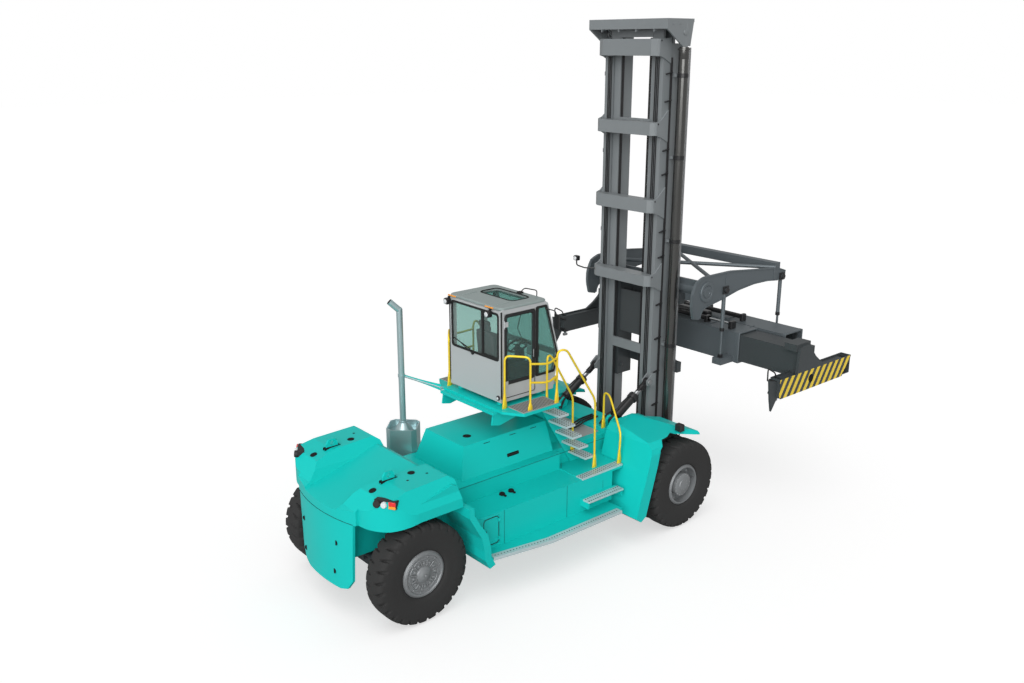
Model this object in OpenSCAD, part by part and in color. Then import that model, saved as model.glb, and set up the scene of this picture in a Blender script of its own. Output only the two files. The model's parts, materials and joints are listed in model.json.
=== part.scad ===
// Laden container handler: rigid four-wheel truck with a two-stage mast and a
// telescopic top-lift spreader. All lengths in millimetres, +X forward, +Y left, +Z up.

/* [Tyres and axles] */
// Overall diameter of every tyre
tyre_dia = 1760; // [1700:10:1800]
// Section width of one drive tyre
drive_tyre_w = 445; // [400:5:450]
// Section width of one steer tyre
steer_tyre_w = 470; // [420:5:490]
// Width over the outer drive tyres
drive_track_over = 4140; // [4120:10:4200]
// Width over the steer tyres
steer_track_over = 3120; // [3080:10:3160]
// Distance between drive and steer axle
wheelbase = 5806; // [5760:2:5860]
// Number of tread lugs round each tyre
lug_count = 28; // [20:1:36]
// Depth of the tread grooves
lug_depth = 38; // [20:1:45]

/* [Chassis] */
// Width of the main frame
frame_w = 1780; // [1700:10:1840]
// Height of the frame's top deck
frame_top = 1800; // [1760:10:1820]
// Height of the side boxes' top
box_top = 1470; // [1420:10:1500]
// Height of the running board
board_z = 830; // [780:10:850]
// Width over the counterweight
counter_w = 3230; // [3150:10:3300]
// Radius of the counterweight's rounded tail
tail_r = 3000; // [2800:50:3400]
// Rearmost point behind the drive axle
tail_x = 6810; // [6800:5:6850]

/* [Cab] */
// Width of the cab
cab_w = 1460; // [1400:10:1500]
// Height of the cab's floor
cab_floor = 3050; // [3020:5:3080]
// Height of the cab's roof
cab_roof = 4740; // [4700:10:4850]
// Thickness of the cab's walls and doors
cab_wall = 45; // [35:1:55]

/* [Mast] */
// Height of the lowered mast
mast_height = 9530; // [9400:10:9700]
// Half width over the outer columns
mast_half = 740; // [736:2:744]
// Rear plane of the outer columns
mast_x0 = 370; // [360:2:380]
// Depth of the outer columns
column_depth = 470; // [460:2:480]
// Half gap between the outer columns' flanges
flange_in = 550; // [540:2:560]
// Half gap between the inner columns' webs
inner_in = 390; // [380:2:396]
// Radius of the lift cylinders
hoist_r = 95; // [85:1:100]

/* [Spreader] */
// Length over the spreader's ends as a 20-foot unit
spreader_len = 6180; // [6160:5:6200]
// Length of an end beam
end_beam_len = 2440; // [2400:5:2480]
// Rear plane of the end beams
spreader_x0 = 1400; // [1400:5:1450]
// Height of the end beams' top
spreader_top = 3000; // [2980:5:3020]

/* [Hidden] */
part = "laden container handler";
tyre_r = tyre_dia/2;
axle_z = tyre_r;
spreader_x1 = spreader_x0 + end_beam_len;
spreader_mid = (spreader_x0 + spreader_x1)/2;
shift_x = (tail_x - spreader_x1)/2;
drive_out = drive_track_over/2;
drive_gap = 30;
steer_out = steer_track_over/2;
steer_x = -wheelbase;
king_y = steer_out - 380;
hub_r = 385;
$fn = 48;

// Shared forms
module place() { translate([shift_x, 0, 0]) children(); }
module side(s) { if (s < 0) mirror([0, 1, 0]) children(); else children(); }
module both() { children(); mirror([0, 1, 0]) children(); }
module block(x0, x1, y0, y1, z0, z1) { translate([x0, y0, z0]) cube([x1 - x0, y1 - y0, z1 - z0]); }
// outline of [x, z] points, drawn from y0 to y1
module side_plate(pts, y0, y1) { translate([0, y1, 0]) rotate([90, 0, 0]) linear_extrude(y1 - y0)
    polygon(pts); }
// outline of [y, z] points, drawn from x0 to x1
module front_plate(pts, x0, x1) { translate([x0, 0, 0]) rotate([90, 0, 90]) linear_extrude(x1 - x0)
    polygon(pts); }
// outline of [x, y] points, drawn from z0 to z1
module floor_plate(pts, z0, z1) { translate([0, 0, z0]) linear_extrude(z1 - z0) polygon(pts); }
module bar(a, b, r) {
    v = b - a; l = norm(v);
    translate(a) rotate([0, acos(v[2]/l), atan2(v[1], v[0])]) cylinder(r = r, h = l);
}
// straight tubes from point to point, each run on a little past its inner corners
module tube_run(pts, r) {
    for (i = [0:len(pts) - 2]) let (v = (pts[i + 1] - pts[i])/norm(pts[i + 1] - pts[i]))
        bar(pts[i] - (i > 0 ? 1 : 0)*r*0.55*v, pts[i + 1] + (i < len(pts) - 2 ? 1 : 0)*r*0.55*v, r);
}
module cross_pin(x, z, y0, y1, r) { translate([x, y1, z]) rotate([90, 0, 0]) cylinder(r = r, h = y1 - y0); }

// Chassis
module chassis_frame() color([0.05, 0.62, 0.58]) place() difference() {
    union() {
        block(-4700, -900, -frame_w/2, frame_w/2, 560, frame_top);
        block(-6560, -4690, -520, 520, 1010, 1640);
        both() block(-910, 60, 560, 890, 420, 1500);
        both() side_plate([[40, 420], [400, 480], [430, 700], [330, 820], [40, 1300]], 830, 890);
        block(-910, -330, -890, 890, 1300, 1900);
        both() for (y = [640, 780])
            side_plate([[-900, 1890], [-600, 1890], [-580, 2010], [-680, 2110], [-790, 2040]], y, y + 40);
        both() cross_pin(tilt_base[0], tilt_base[1], 620, 840, 34);
        both() cross_pin(pivot[0], pivot[1], 635, 870, 55);
        for (x = hood_hinges) {
            hood_pin(x - 20, x + 120, 8);
            for (k = [x - 20, x + 105]) block(k, k + 15, hood_y - 10, hood_y + 10, frame_top - 5,
                hood_z + 10);
        }
    }
    // engine bay, stair recesses and the axle's seat
    block(-4300, -2350, -620, 620, 1000, frame_top + 5);
    both() block(-2240, -915, 735, 900, box_top, frame_top + 5);
    cross_pin(0, axle_z, -1000, 1000, 240.3);
    block(-320, 320, -340, 340, 580, 1180);
}

// Counterweight: a rounded tail block, a hump on each side and a rear plate
counter_under = [[-5060, 1880], [-5900, 1880], [-6380, 1800]];
counter_side = concat([[-6900, 1790], [-6900, 1930], [-5230, 2300], [-5120, 2250]], counter_under);
hump_side = concat([[-6900, 1790], [-6900, 1930], [-6660, 2040], [-6420, 2300], [-6050, 2390],
    [-5230, 2420],
    [-5120, 2340]], counter_under);
hump_front = [[480, 1900], [600, 2200], [800, 2425], [1420, 2425], [counter_w/2, 2040],
    [counter_w/2, 1700], [480, 1700]];
eye = [-6010, 2480];
module tail_disc(inset) { translate([-tail_x + tail_r, 0]) circle(r = tail_r - inset, $fn = 120); }
module counterweight() color([0.08, 0.74, 0.70]) place() {
    intersection() {
        union() {
            side_plate(counter_side, -counter_w/2 + 60, counter_w/2 - 60);
            both() intersection() {
                side_plate(hump_side, 480, counter_w/2);
                front_plate(hump_front, -7000, -4500);
            }
        }
        translate([0, 0, 1700]) linear_extrude(800) intersection() {
            tail_disc(0);
            union() {
                translate([-5900, -counter_w/2]) square([900, counter_w]);
                translate([-6900, -counter_w/2 + 700]) square([1900, counter_w - 1400]);
                for (s = [-1, 1]) translate([-5920, s*(counter_w/2 - 700)]) circle(r = 700);
            }
        }
    }
    intersection() {
        translate([0, 0, 540]) linear_extrude(1255) difference() {
            intersection() { tail_disc(0); translate([-6900, -850]) square([900, 1700]); }
            tail_disc(45);
        }
        front_plate([[-850, 1800], [-790, 760], [-670, 590], [-500, 540], [500, 540],
            [670, 590], [790, 760], [850, 1800]], -7000, -6000);
    }
    block(-6720, -6560, -520, 520, 700, 1800);
    block(-6560, -4990, -520, 520, 1640, 1900);
    both() difference() {
        side_plate([for (q = [[110, -200], [110, -15], [60, 65], [-60, 65], [-110, -15],
            [-110, -200]]) eye + q], 860, 900);
        cross_pin(eye[0], eye[1], 850, 910, 42);
    }
}

module drive_axle() color([0.10, 0.11, 0.12]) place() {
    cross_pin(0, axle_z, -(drive_out - 250), drive_out - 250, 205);
    cross_pin(0, axle_z, -900, 900, 240);
    block(-300, 0, -330, 330, 600, 1160);
    cross_pin(0, axle_z, -(drive_out - 90), drive_out - 90, 120);
}

module steer_axle() color([0.10, 0.11, 0.12]) place() {
    block(steer_x - 170, steer_x + 170, -king_y + 360, king_y - 360, 760, 1000);
    block(steer_x - 200, steer_x + 200, -400, 400, 990, 1009.7);
    block(steer_x - 260, steer_x + 260, -500, 500, 600, 765);
    both() {
        block(steer_x - 110, steer_x + 110, king_y - 380, king_y - 180, 660, 1100);
        for (z = [660, 1050]) difference() {
            union() {
                translate([steer_x, king_y, z]) cylinder(r = 90, h = 50);
                block(steer_x - 90, steer_x + 90, king_y - 190, king_y, z, z + 50);
            }
            translate([steer_x, king_y, z - 1]) cylinder(r = 35.3, h = 52);
        }
        bar([steer_x - 330, 300, 880], [steer_x - 330, 620, 880], 45);
    }
    block(steer_x - 400, steer_x - 160, -330, 330, 790, 970);
}

module engine_block() color([0.20, 0.21, 0.22]) place() block(-4150, -2450, -460, 460, 1000.3, 2120);

locker_pin = [-4203, 1509];
box_side = [[-4770, box_top], [-4655, 1292], [-4597, 1032], [-4589, 861], [-4573, board_z],
    [-1450, board_z], [-1450, box_top]];
module side_boxes() color([0.07, 0.70, 0.66]) place() {
    side(1) side_plate(box_side, 890, 1500);
    side(-1) difference() {
        side_plate(box_side, 890, 1500);
        block(-4560, -4210, 1080, 1502, 900, 1420);
    }
    // hinge pins of the locker door
    side(-1) for (z = [960, 1300]) {
        translate([locker_pin[0], locker_pin[1], z - 10]) cylinder(r = 5, h = 80);
        for (k = [z - 18, z + 62]) block(locker_pin[0] - 6, locker_pin[0] + 8, 1498, locker_pin[1] + 5,
            k, k + 16);
    }
}

// stair treads, each [x of the middle, height]
stair_treads = [[-2480, 2720], [-2310, 2470], [-2140, 2220], [-1970, 1970], [-1800, 1720]];
module access_steps() color([0.09, 0.76, 0.72]) place() both() {
    floor_plate([[-4554, 1300], [-4554, 1770], [-3390, 1960], [-1640, 1960], [-1560, 1880], [-1560, 1300]],
        board_z - 50, board_z);
    block(-2270, -1370, 1500, 1720, 1080, 1110);
    for (x = [-2270, -1400]) side_plate([[x, 960], [x + 30, 960], [x + 30, 1100], [x, 1100]], 1500, 1700);
    block(-2240, -1180, 745, 1500, box_top, box_top + 15);
    block(-1449, -1180, 891, 1500, box_top - 60, box_top + 5);
    for (t = stair_treads) block(t[0] - 115, t[0] + 115, 765, 1244, t[1] - 35, t[1]);
    side_plate([[-2720, 2919], [-2430, 2919], [-1600, 1640], [-1600, box_top + 5], [-1840, box_top + 5]],
        745, 770);
}

// Drive wheel covers: a broad sloping guard over the twin tyres
fender_side = [[-1270, 520], [-1400, 620], [-1130, 1500], [-1010, 1960], [-880, 2090], [-300, 2110],
    [330, 1930], [350, 1860], [180, 1900], [-300, 2000], [-640, 1980], [-800, 1840], [-880, 1500],
        [-1140, 600]];
module front_fenders() color([0.08, 0.74, 0.70]) place() both() difference() {
    intersection() {
        side_plate(fender_side, 890, 2110);
        front_plate([[885, 400], [885, 2200], [960, 2110], [1960, 1990], [2080, 1900], [2105, 1800],
            [2105, 400]], -1500, 600);
    }
    block(-100, 400, 880, 1070, 1700, 2200);
}

module rear_mudguards() color([0.08, 0.74, 0.70]) place() both()
    side_plate([[-5050, 1870], [-4950, 1870], [-4945, 1740], [-4845, 1560], [-4665, 1290], [-4605, 1030],
        [-4595, 860],
        [-4510, 690], [-4630, 650], [-4730, 830], [-4740, 1000], [-4790, 1250], [-4940, 1520],
            [-5040, 1700]], 890, 1760);

module cab_platform() color([0.09, 0.76, 0.72]) place() {
    floor_plate([[-3640, -900], [-3640, 900], [-3420, 1240], [-2560, 1240], [-2560, 742], [-2420, 742],
        [-2420, 430], [-1850, 430], [-1850, -430], [-2420, -430], [-2420, -742], [-2560, -742],
            [-2560, -1240],
        [-3420, -1240]], 2920, 2970);
    both() side_plate([[-3700, 2930], [-3740, 2690], [-3560, 2650], [-2430, 2880], [-2430, 2930]],
        710, 740);
    block(-3740, -3640, -770, 770, 2880, 2930);
    block(-2235, -1850, -430, 430, frame_top, 2925);
    both() for (x = [-3400, -2500]) translate([x, 560, 2965]) cylinder(r = 60, h = cab_floor - 2965);
}

// rail runs: lists of corner points, feet first
rails = [
    [[-3500, -800, 2970], [-3500, -800, 3900], [-3430, -880, 3980], [-3280, -1080, 3980],
        [-3220, -1160, 3900], [-3220, -1160, 2970]],
    [[-3220, -1160, 3820], [-2900, -1230, 3800], [-2620, -1190, 3820]],
    [[-3220, -1160, 3480], [-2900, -1230, 3460], [-2620, -1190, 3480]],
    [[-2620, -1190, 2970], [-2620, -1190, 3880], [-2530, -1265, 3970], [-2440, -1265, 3900],
        [-1740, -1265, 2860], [-1700, -1265, 2760], [-1700, -1265, 1485]],
    [[-2490, -790, 2720], [-2490, -790, 3650], [-2440, -790, 3730], [-2370, -790, 3650],
        [-1860, -790, 2810], [-1815, -790, 2700], [-1815, -790, 1720]],
    [[-900, -700, 1900], [-900, -700, 2560], [-900, -770, 2650], [-900, -850, 2580], [-930, -1200, 2240],
        [-1130, -1400, 2100], [-1205, -1430, 2000], [-1205, -1430, 1485]]];
module safety_rails() color([0.93, 0.78, 0.10]) place() both() for (r = rails) tube_run(r, 20);

// plan of the exhaust's shroud: broad faces turned half way between the axes, narrow ones between them
function shroud(a) = [[a, -a*0.7], [a, a*0.7], [a*0.7, a], [-a*0.7, a],
    [-a, a*0.7], [-a, -a*0.7], [-a*0.7, -a], [a*0.7, -a]];
module exhaust_stack() color([0.60, 0.66, 0.68]) place() translate([-4270, 1250, 0]) {
    difference() {
        translate([0, 0, box_top]) rotate([0, 0, 45]) linear_extrude(770) polygon(shroud(285));
        translate([0, 0, box_top + 650]) rotate([0, 0, 45]) linear_extrude(150) polygon(shroud(270));
    }
    translate([0, 0, box_top + 640]) cylinder(r1 = 215, r2 = 62, h = 200);
    translate([0, 0, box_top + 830]) cylinder(r = 58, h = 3010 - 830);
    bar([0, 0, 4470], [-160, 80, 4640], 58);
    translate([0, 0, 4475]) sphere(r = 58.8);
    // stay from the cab platform to the pipe
    bar([0, 0, 3220], [605, -400, 2950], 20);
    block(580, 630, -450, -360, 2925, 2965);
}

// Cab: outer and inner side outlines, then openings
cab_out = [[-3520, 3050], [-3520, 4690], [-3470, 4740], [-2500, 4740], [-2430, 4690], [-2150, 3720],
    [-2290, 3050]];
cab_in = [[-3475, 3095], [-3475, 4695], [-2520, 4695], [-2470, 4670], [-2198, 3718], [-2328, 3095]];
door_pts = [[-3440, 3120], [-3440, 4640], [-2730, 4640], [-2730, 3120]];
module cab_shell() color([0.55, 0.57, 0.58]) place() {
    difference() {
        side_plate(cab_out, -cab_w/2, cab_w/2);
        side_plate(cab_in, -cab_w/2 + cab_wall, cab_w/2 - cab_wall);
        // door openings
        both() side_plate([[-3448, 3112], [-3448, 4648], [-2722, 4648], [-2722, 3112]],
            cab_w/2 - cab_wall - 5, cab_w/2 + 5);
        // quarter windows
        both() side_plate([[-2670, 4640], [-2478, 4640], [-2218, 3735], [-2218, 3700], [-2280, 3400],
            [-2670, 3400]],
            cab_w/2 - cab_wall - 5, cab_w/2 + 5);
        // rear window, roof window, windscreen, lower front window
        block(-3530, -3470, -650, 650, 3820, 4640);
        block(-3060, -2600, -480, 480, 4690, 4750);
        front_plate([[-670, 3760], [670, 3760], [670, 4640], [-670, 4640]], -2480, -2100);
        front_plate([[-640, 3150], [640, 3150], [640, 3660], [-640, 3660]], -2330, -2100);
    }
    // door hinge pins on their brackets
    both() for (z = [3340, 4420]) {
        translate([hinge_x, hinge_y, z - 15]) cylinder(r = 8, h = 120);
        for (k = [z - 25, z + 95]) block(hinge_x - 12, hinge_x + 5, cab_w/2 - 2, hinge_y + 8, k, k + 20);
    }
}

module cab_glazing() color([0.10, 0.45, 0.42, 0.6]) place() {
    block(-3502, -3494, -649.7, 649.7, 3820.3, 4639.7);
    block(-3059.7, -2600.3, -479.7, 479.7, 4712, 4720);
    both() side_plate([[-2669.7, 4639.7], [-2478.3, 4639.7], [-2218.4, 3735], [-2218.4, 3700],
        [-2280.3, 3400.3],
        [-2669.7, 3400.3]], cab_w/2 - 26, cab_w/2 - 18);
    side_plate([[-2442, 4639.7], [-2434, 4639.7], [-2182, 3760.3], [-2190, 3760.3]], -669.7, 669.7);
    side_plate([[-2190, 3659.7], [-2182, 3659.7], [-2289, 3150.3], [-2297, 3150.3]], -639.7, 639.7);
}

module cab_interior() color([0.10, 0.10, 0.11]) place() {
    block(-3150, -2750, -200, 200, 3095, 3300);
    translate([-2960, 0, 3290]) linear_extrude(130) square([520, 500], center = true);
    side_plate([[-3240, 3400], [-3120, 3400], [-3190, 4150], [-3290, 4150]], -240, 240);
    both() block(-3150, -2780, 270, 370, 3560, 3620);
    both() block(-3130, -3010, 240, 350, 3380, 3565);
    side_plate([[-2480, 3095], [-2350, 3095], [-2440, 3700], [-2520, 3700]], -90, 90);
    translate([-2520, 0, 3740]) rotate([0, -25, 0]) rotate_extrude() translate([190, 0]) circle(r = 16);
    bar([-2480, 0, 3660], [-2530, 0, 3750], 22);
    translate([-2521, 0, 3742]) rotate([0, -25, 0]) block(-190, 190, -14, 14, -8, 8);
    side(-1) block(-3050, -2480, 420, 560, 3095, 3560);
}

// Hood: a tapered lid over the engine, hinged along its left edge
hood_y = 735;
hood_z = 1830;
hood_hinges = [-4050, -2950];
module hood_pin(x0, x1, r) { translate([x0, hood_y, hood_z]) rotate([0, 90, 0])
    cylinder(r = r, h = x1 - x0); }
module engine_hood() color([0.09, 0.76, 0.72]) place() difference() {
    union() {
        intersection() {
            side_plate([[-4400, 1800.3], [-4240, 2370], [-2310, 2370], [-2250, 1800.3]], -720, 720);
            front_plate([[-710, 1800.3], [-560, 2370], [560, 2370], [710, 1800.3]], -4500, -2200);
        }
        for (x = hood_hinges) {
            hood_pin(x, x + 100, 14);
            block(x, x + 100, 696, hood_y, hood_z - 6, hood_z + 6);
        }
    }
    intersection() {
        side_plate([[-4370, 1800], [-4215, 2340], [-2335, 2340], [-2280, 1800]], -690, 690);
        front_plate([[-683, 1800], [-535, 2340], [535, 2340], [683, 1800]], -4500, -2200);
    }
    translate([-3890, -210, 2300]) cylinder(r = 45, h = 100);
    hood_pin(-4100, -2800, 8.3);
}

hinge_x = -3455;
hinge_y = cab_w/2 + 15;
module cab_door(s) color([0.50, 0.52, 0.53]) place() side(s) difference() {
    union() {
        side_plate(door_pts, cab_w/2 - cab_wall + 3, cab_w/2 - 2);
        block(-2782, -2752, cab_w/2 - 3, cab_w/2 + 22, 3760, 3900);
        for (z = [3340, 4420]) {
            translate([hinge_x, hinge_y, z]) cylinder(r = 12, h = 90);
            block(hinge_x, -3370, hinge_y - 9, hinge_y + 3, z, z + 90);
            block(-3432, -3370, cab_w/2 - 3, hinge_y + 3, z, z + 90);
        }
    }
    block(-3395, -2790, cab_w/2 - cab_wall, cab_w/2 + 1, 3420, 4590);
    translate([hinge_x, hinge_y, 3300]) cylinder(r = 8.3, h = 1300);
}
module cab_door_left() cab_door(1);
module cab_door_right() cab_door(-1);

module box_door() color([0.09, 0.76, 0.72]) place() side(-1) difference() {
    union() {
        block(-4552, -4218, 1470, 1495, 908, 1412);
        block(-4520, -4500, 1494, 1510, 1120, 1200);
        for (z = [960, 1300]) {
            translate([locker_pin[0], locker_pin[1], z]) cylinder(r = 7.5, h = 60);
            block(-4240, locker_pin[0], locker_pin[1] - 5, locker_pin[1] + 2, z, z + 60);
            block(-4240, -4218, 1494, locker_pin[1] + 2, z, z + 60);
        }
    }
    translate([locker_pin[0], locker_pin[1], 940]) cylinder(r = 5.3, h = 440);
}

// Steering knuckles: kingpin, upright and stub axle
module knuckle(s) color([0.12, 0.13, 0.14]) place() side(s) {
    translate([steer_x, king_y, 650]) cylinder(r = 35, h = 460);
    translate([steer_x, king_y, 718]) cylinder(r = 80, h = 324);
    cross_pin(steer_x, axle_z, king_y, 1272, 110);
    cross_pin(steer_x, axle_z, king_y, steer_out - 140, 75);
    block(steer_x - 240, steer_x - 60, king_y - 40, king_y + 40, 850, 900);
}
module knuckle_left() knuckle(1);
module knuckle_right() knuckle(-1);

// Tyres: rings of points round the axle. The seat and the wall have one point a lug, the shoulder and
// the crown three, of which the first stands in a groove.
function coarse_ring(r, z) = [for (i = [0:lug_count - 1]) let (a = i*360/lug_count)
    [r*cos(a), r*sin(a), z]];
function fine_ring(r, z, cut_r, cut_z) = [for (i = [0:lug_count - 1]) for (f = [0, 0.17, 0.83])
    let (a = (i + f)*360/lug_count, q = f == 0 ? cut_r : r) [q*cos(a), q*sin(a), f == 0 ? cut_z : z]];
// faces between two rings of n points that start at a and b
function even_band(a, b, n) = [for (i = [0:n - 1]) let (j = (i + 1)%n) for (t = [[a + i, b + i, b + j],
    [a + i, b + j, a + j]]) t];
// faces from a ring of one point a lug to one of three, and back
function widening_band(a, b, n) = [for (i = [0:n - 1]) let (j = (i + 1)%n, k = 3*i, m = (3*i + 3)%(3*n))
    for (t = [[a + i, b + k, b + k + 1], [a + i, b + k + 1, b + k + 2], [a + i, b + k + 2, a + j],
        [a + j, b + k + 2, b + m]]) t];
function narrowing_band(a, b, n) = [for (i = [0:n - 1]) let (j = (i + 1)%n, k = 3*i, m = (3*i + 3)%(3*n))
    for (t = [[a + k, b + i, a + k + 1], [a + k + 1, b + i, a + k + 2], [a + k + 2, b + i, b + j],
        [a + k + 2, b + j, a + m]]) t];
module tyre(w) {
    n = lug_count;
    seat = (hub_r + 20.3)/cos(180/n);
    h = w/2;
    cut = tyre_r - 36 - lug_depth;
    polyhedron(concat(coarse_ring(seat, 60 - h), coarse_ring(tyre_r - 230, -h),
            fine_ring(tyre_r - 30, 26 - h, cut, 48 - h), fine_ring(tyre_r, 130 - h, tyre_r, 150 - h),
            fine_ring(tyre_r, h - 130, tyre_r, h - 150), fine_ring(tyre_r - 30, h - 26, cut, h - 48),
            coarse_ring(tyre_r - 230, h), coarse_ring(seat, h - 60)),
        concat(even_band(0, n, n), widening_band(n, 2*n, n), even_band(2*n, 5*n, 3*n),
            even_band(5*n, 8*n, 3*n),
            even_band(8*n, 11*n, 3*n), narrowing_band(11*n, 14*n, n), even_band(14*n, 15*n, n),
                even_band(15*n, 0, n)));
}
module turned(x, y) { translate([x, y, axle_z]) rotate([-90, 0, 0]) children(); }

module steer_tyre(s) color([0.05, 0.05, 0.05]) place() side(s)
    turned(steer_x, steer_out - steer_tyre_w/2) tyre(steer_tyre_w);
module steer_tyre_left() steer_tyre(1);
module steer_tyre_right() steer_tyre(-1);

module steer_rim(s) color([0.30, 0.31, 0.32]) place() side(s) turned(steer_x, steer_out - steer_tyre_w/2) {
    w = steer_tyre_w;
    rotate_extrude() polygon([[hub_r - 30, -w/2 + 60], [hub_r + 20, -w/2 + 60], [hub_r + 20, w/2 - 60],
        [hub_r - 10, w/2 - 30], [hub_r - 30, w/2 - 30]]);
    difference() {
        translate([0, 0, w/2 - 90]) cylinder(r = hub_r - 20, h = 40);
        translate([0, 0, w/2 - 95]) cylinder(r = 90, h = 50);
    }
    difference() {
        translate([0, 0, -40]) cylinder(r = 150, h = w/2 - 20);
        translate([0, 0, -45]) cylinder(r = 75.3, h = w/2 - 55);
    }
    for (i = [0:11]) rotate([0, 0, i*30]) translate([210, 0, w/2 - 52]) cylinder(r = 22, h = 28, $fn = 6);
}
module steer_rim_left() steer_rim(1);
module steer_rim_right() steer_rim(-1);

module drive_tyres(s) color([0.05, 0.05, 0.05]) place() side(s)
    for (i = [0, 1]) turned(0, drive_out - drive_tyre_w/2 - i*(drive_tyre_w + drive_gap))
        tyre(drive_tyre_w);
module drive_tyres_left() drive_tyres(1);
module drive_tyres_right() drive_tyres(-1);

module drive_rims(s) color([0.30, 0.31, 0.32]) place() side(s) turned(0, drive_out - drive_tyre_w/2) {
    w = drive_tyre_w;
    rotate_extrude() polygon([[hub_r - 30, -w*1.5 - drive_gap + 60], [hub_r + 20, -w*1.5 - drive_gap + 60],
        [hub_r + 20, w/2 - 60], [hub_r - 10, w/2 - 30], [hub_r - 30, w/2 - 30]]);
    difference() {
        translate([0, 0, -30]) cylinder(r = hub_r - 20, h = 40);
        translate([0, 0, -35]) cylinder(r = 215, h = 50);
    }
    difference() {
        translate([0, 0, -40]) cylinder(r = 260, h = 45);
        translate([0, 0, -45]) cylinder(r = 205.3, h = 55);
    }
    difference() {
        translate([0, 0, -10]) cylinder(r = 225, h = w/2 - 50);
        translate([0, 0, -15]) cylinder(r = 120.3, h = w/2 - 65);
    }
    for (i = [0:11]) rotate([0, 0, i*30]) translate([290, 0, 8]) cylinder(r = 20, h = 30, $fn = 6);
}
module drive_rims_left() drive_rims(1);
module drive_rims_right() drive_rims(-1);

// Mast
pivot = [300, 620];
hoist_x = 700;
hoist_y = mast_half + 190;
tilt_base = [-680, 2000];
tilt_eye = [280, 2600];
tilt_y = 730;
col_x1 = mast_x0 + column_depth;
column_top = mast_height - 430;
// cross members of the outer mast: [lower edge, upper edge, half width, rise of the ear, drop of the ear]
outer_cross = [[mast_height - 650, mast_height - 350, 615, 20, 130],
    [mast_height - 2080, mast_height - 1840, 655, 220, 130],
    [6000, 6250, 655, 220, 130], [4565, 4775, 655, 220, 130]];
module mast_outer() color([0.16, 0.18, 0.19]) place() {
    both() {
        block(mast_x0, col_x1, mast_half - 55, mast_half, 380, column_top);
        block(mast_x0, mast_x0 + 50, flange_in, mast_half, 380, column_top);
        block(col_x1 - 50, col_x1, flange_in, mast_half, 380, column_top);
    }
    for (c = outer_cross) {
        block(150, mast_x0 + 5, -c[2], c[2], c[0], c[1]);
        both() floor_plate([[150, c[2] - 5], [200, mast_half - 10], [260, mast_half + 30],
            [400, mast_half + 30],
            [400, mast_half - 5], [mast_x0, mast_half - 5], [mast_x0, c[2] - 5]], c[0], c[1]);
        // flared ears on the outer faces of the columns
        both() side_plate([[230, c[0]], [230, c[1]], [330, c[1] + c[3]*0.15], [430, c[1] + c[3]*0.5],
            [540, c[1] + c[3]],
            [540, c[0] - c[4]], [430, c[0] - c[4]*0.6], [330, c[0] - c[4]*0.2]],
                mast_half - 5, mast_half + 30);
    }
    block(mast_x0 - 60, mast_x0 + 50, -flange_in - 10, flange_in + 10, 400, 760);
    block(col_x1 - 50, col_x1, -flange_in - 10, flange_in + 10, 390, 560);
    both() difference() {
        side_plate([[mast_x0 + 5, 460], [250, 500], [205, 620], [250, 740], [mast_x0 + 5, 980]], 640, 785);
        cross_pin(pivot[0], pivot[1], 630, 800, 55.3);
    }
    both() for (y = [tilt_y - 75, tilt_y + 45])
        side_plate([[mast_x0 + 5, 2500], [tilt_eye[0] - 60, 2540], [tilt_eye[0] - 70, 2630],
            [mast_x0 + 5, 2760]], y, y + 30);
    both() block(mast_x0, mast_x0 + 90, mast_half - 5, tilt_y + 75, 2500, 2760);
    both() cross_pin(tilt_eye[0], tilt_eye[1], tilt_y - 80, tilt_y + 78, 33);
    both() for (z = [1500, 3300, 5400, 7000, column_top - 600]) block(hoist_x - 60, hoist_x + 60,
        mast_half - 5, hoist_y - hoist_r - 0.3, z, z + 60);
    both() block(hoist_x - 130, hoist_x + 130, mast_half - 5, hoist_y + 90, 390, 444.7);
    // wear pads at the top, against the inner columns
    both() block(mast_x0 + 45, 439.7, flange_in + 10, 640, column_top - 190, column_top - 20);
    both() block(770.3, col_x1 - 45, flange_in + 10, 640, column_top - 190, column_top - 20);
}

module hoist_barrels() color([0.45, 0.47, 0.48]) place() both() {
    difference() {
        translate([hoist_x, hoist_y, 445]) cylinder(r = hoist_r, h = mast_height - 1130);
        translate([hoist_x, hoist_y, 600]) cylinder(r = hoist_r - 17, h = mast_height - 1230);
    }
}

module mast_inner() color([0.16, 0.18, 0.19]) place() {
    both() {
        block(440, 770, inner_in, inner_in + 60, 460, mast_height - 180);
        block(440, 500, inner_in, 650, 460, mast_height - 180);
        block(710, 770, inner_in, 650, 460, mast_height - 180);
        translate([hoist_x, hoist_y, 3700]) cylinder(r = hoist_r - 30, h = mast_height - 3700 - 50);
    }
    // crosshead
    block(150, 880, -990, 990, mast_height - 60, mast_height);
    block(150, 190, -990, 990, mast_height - 180, mast_height - 60);
    block(440, 770, -700, 700, mast_height - 200, mast_height - 55);
    both() side_plate([[150, mast_height - 1], [880, mast_height - 1], [800, mast_height - 480],
        [590, mast_height - 480],
        [150, mast_height - 180]], 955, 990);
    both() side_plate([[420, mast_height - 1], [820, mast_height - 1], [800, mast_height - 330],
        [640, mast_height - 330]], 840, 870);
    for (z = [600, 3080, 4560, 6010, mast_height - 2000, mast_height - 320])
        block(425, 470, -inner_in - 15, inner_in + 15, z, z + (z > mast_height - 400 ? 130 : 200));
    // wear pads at the foot, against the outer columns
    both() block(mast_x0 + 50.3, col_x1 - 50.3, 580, mast_half - 60, 470, 640);
}

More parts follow.
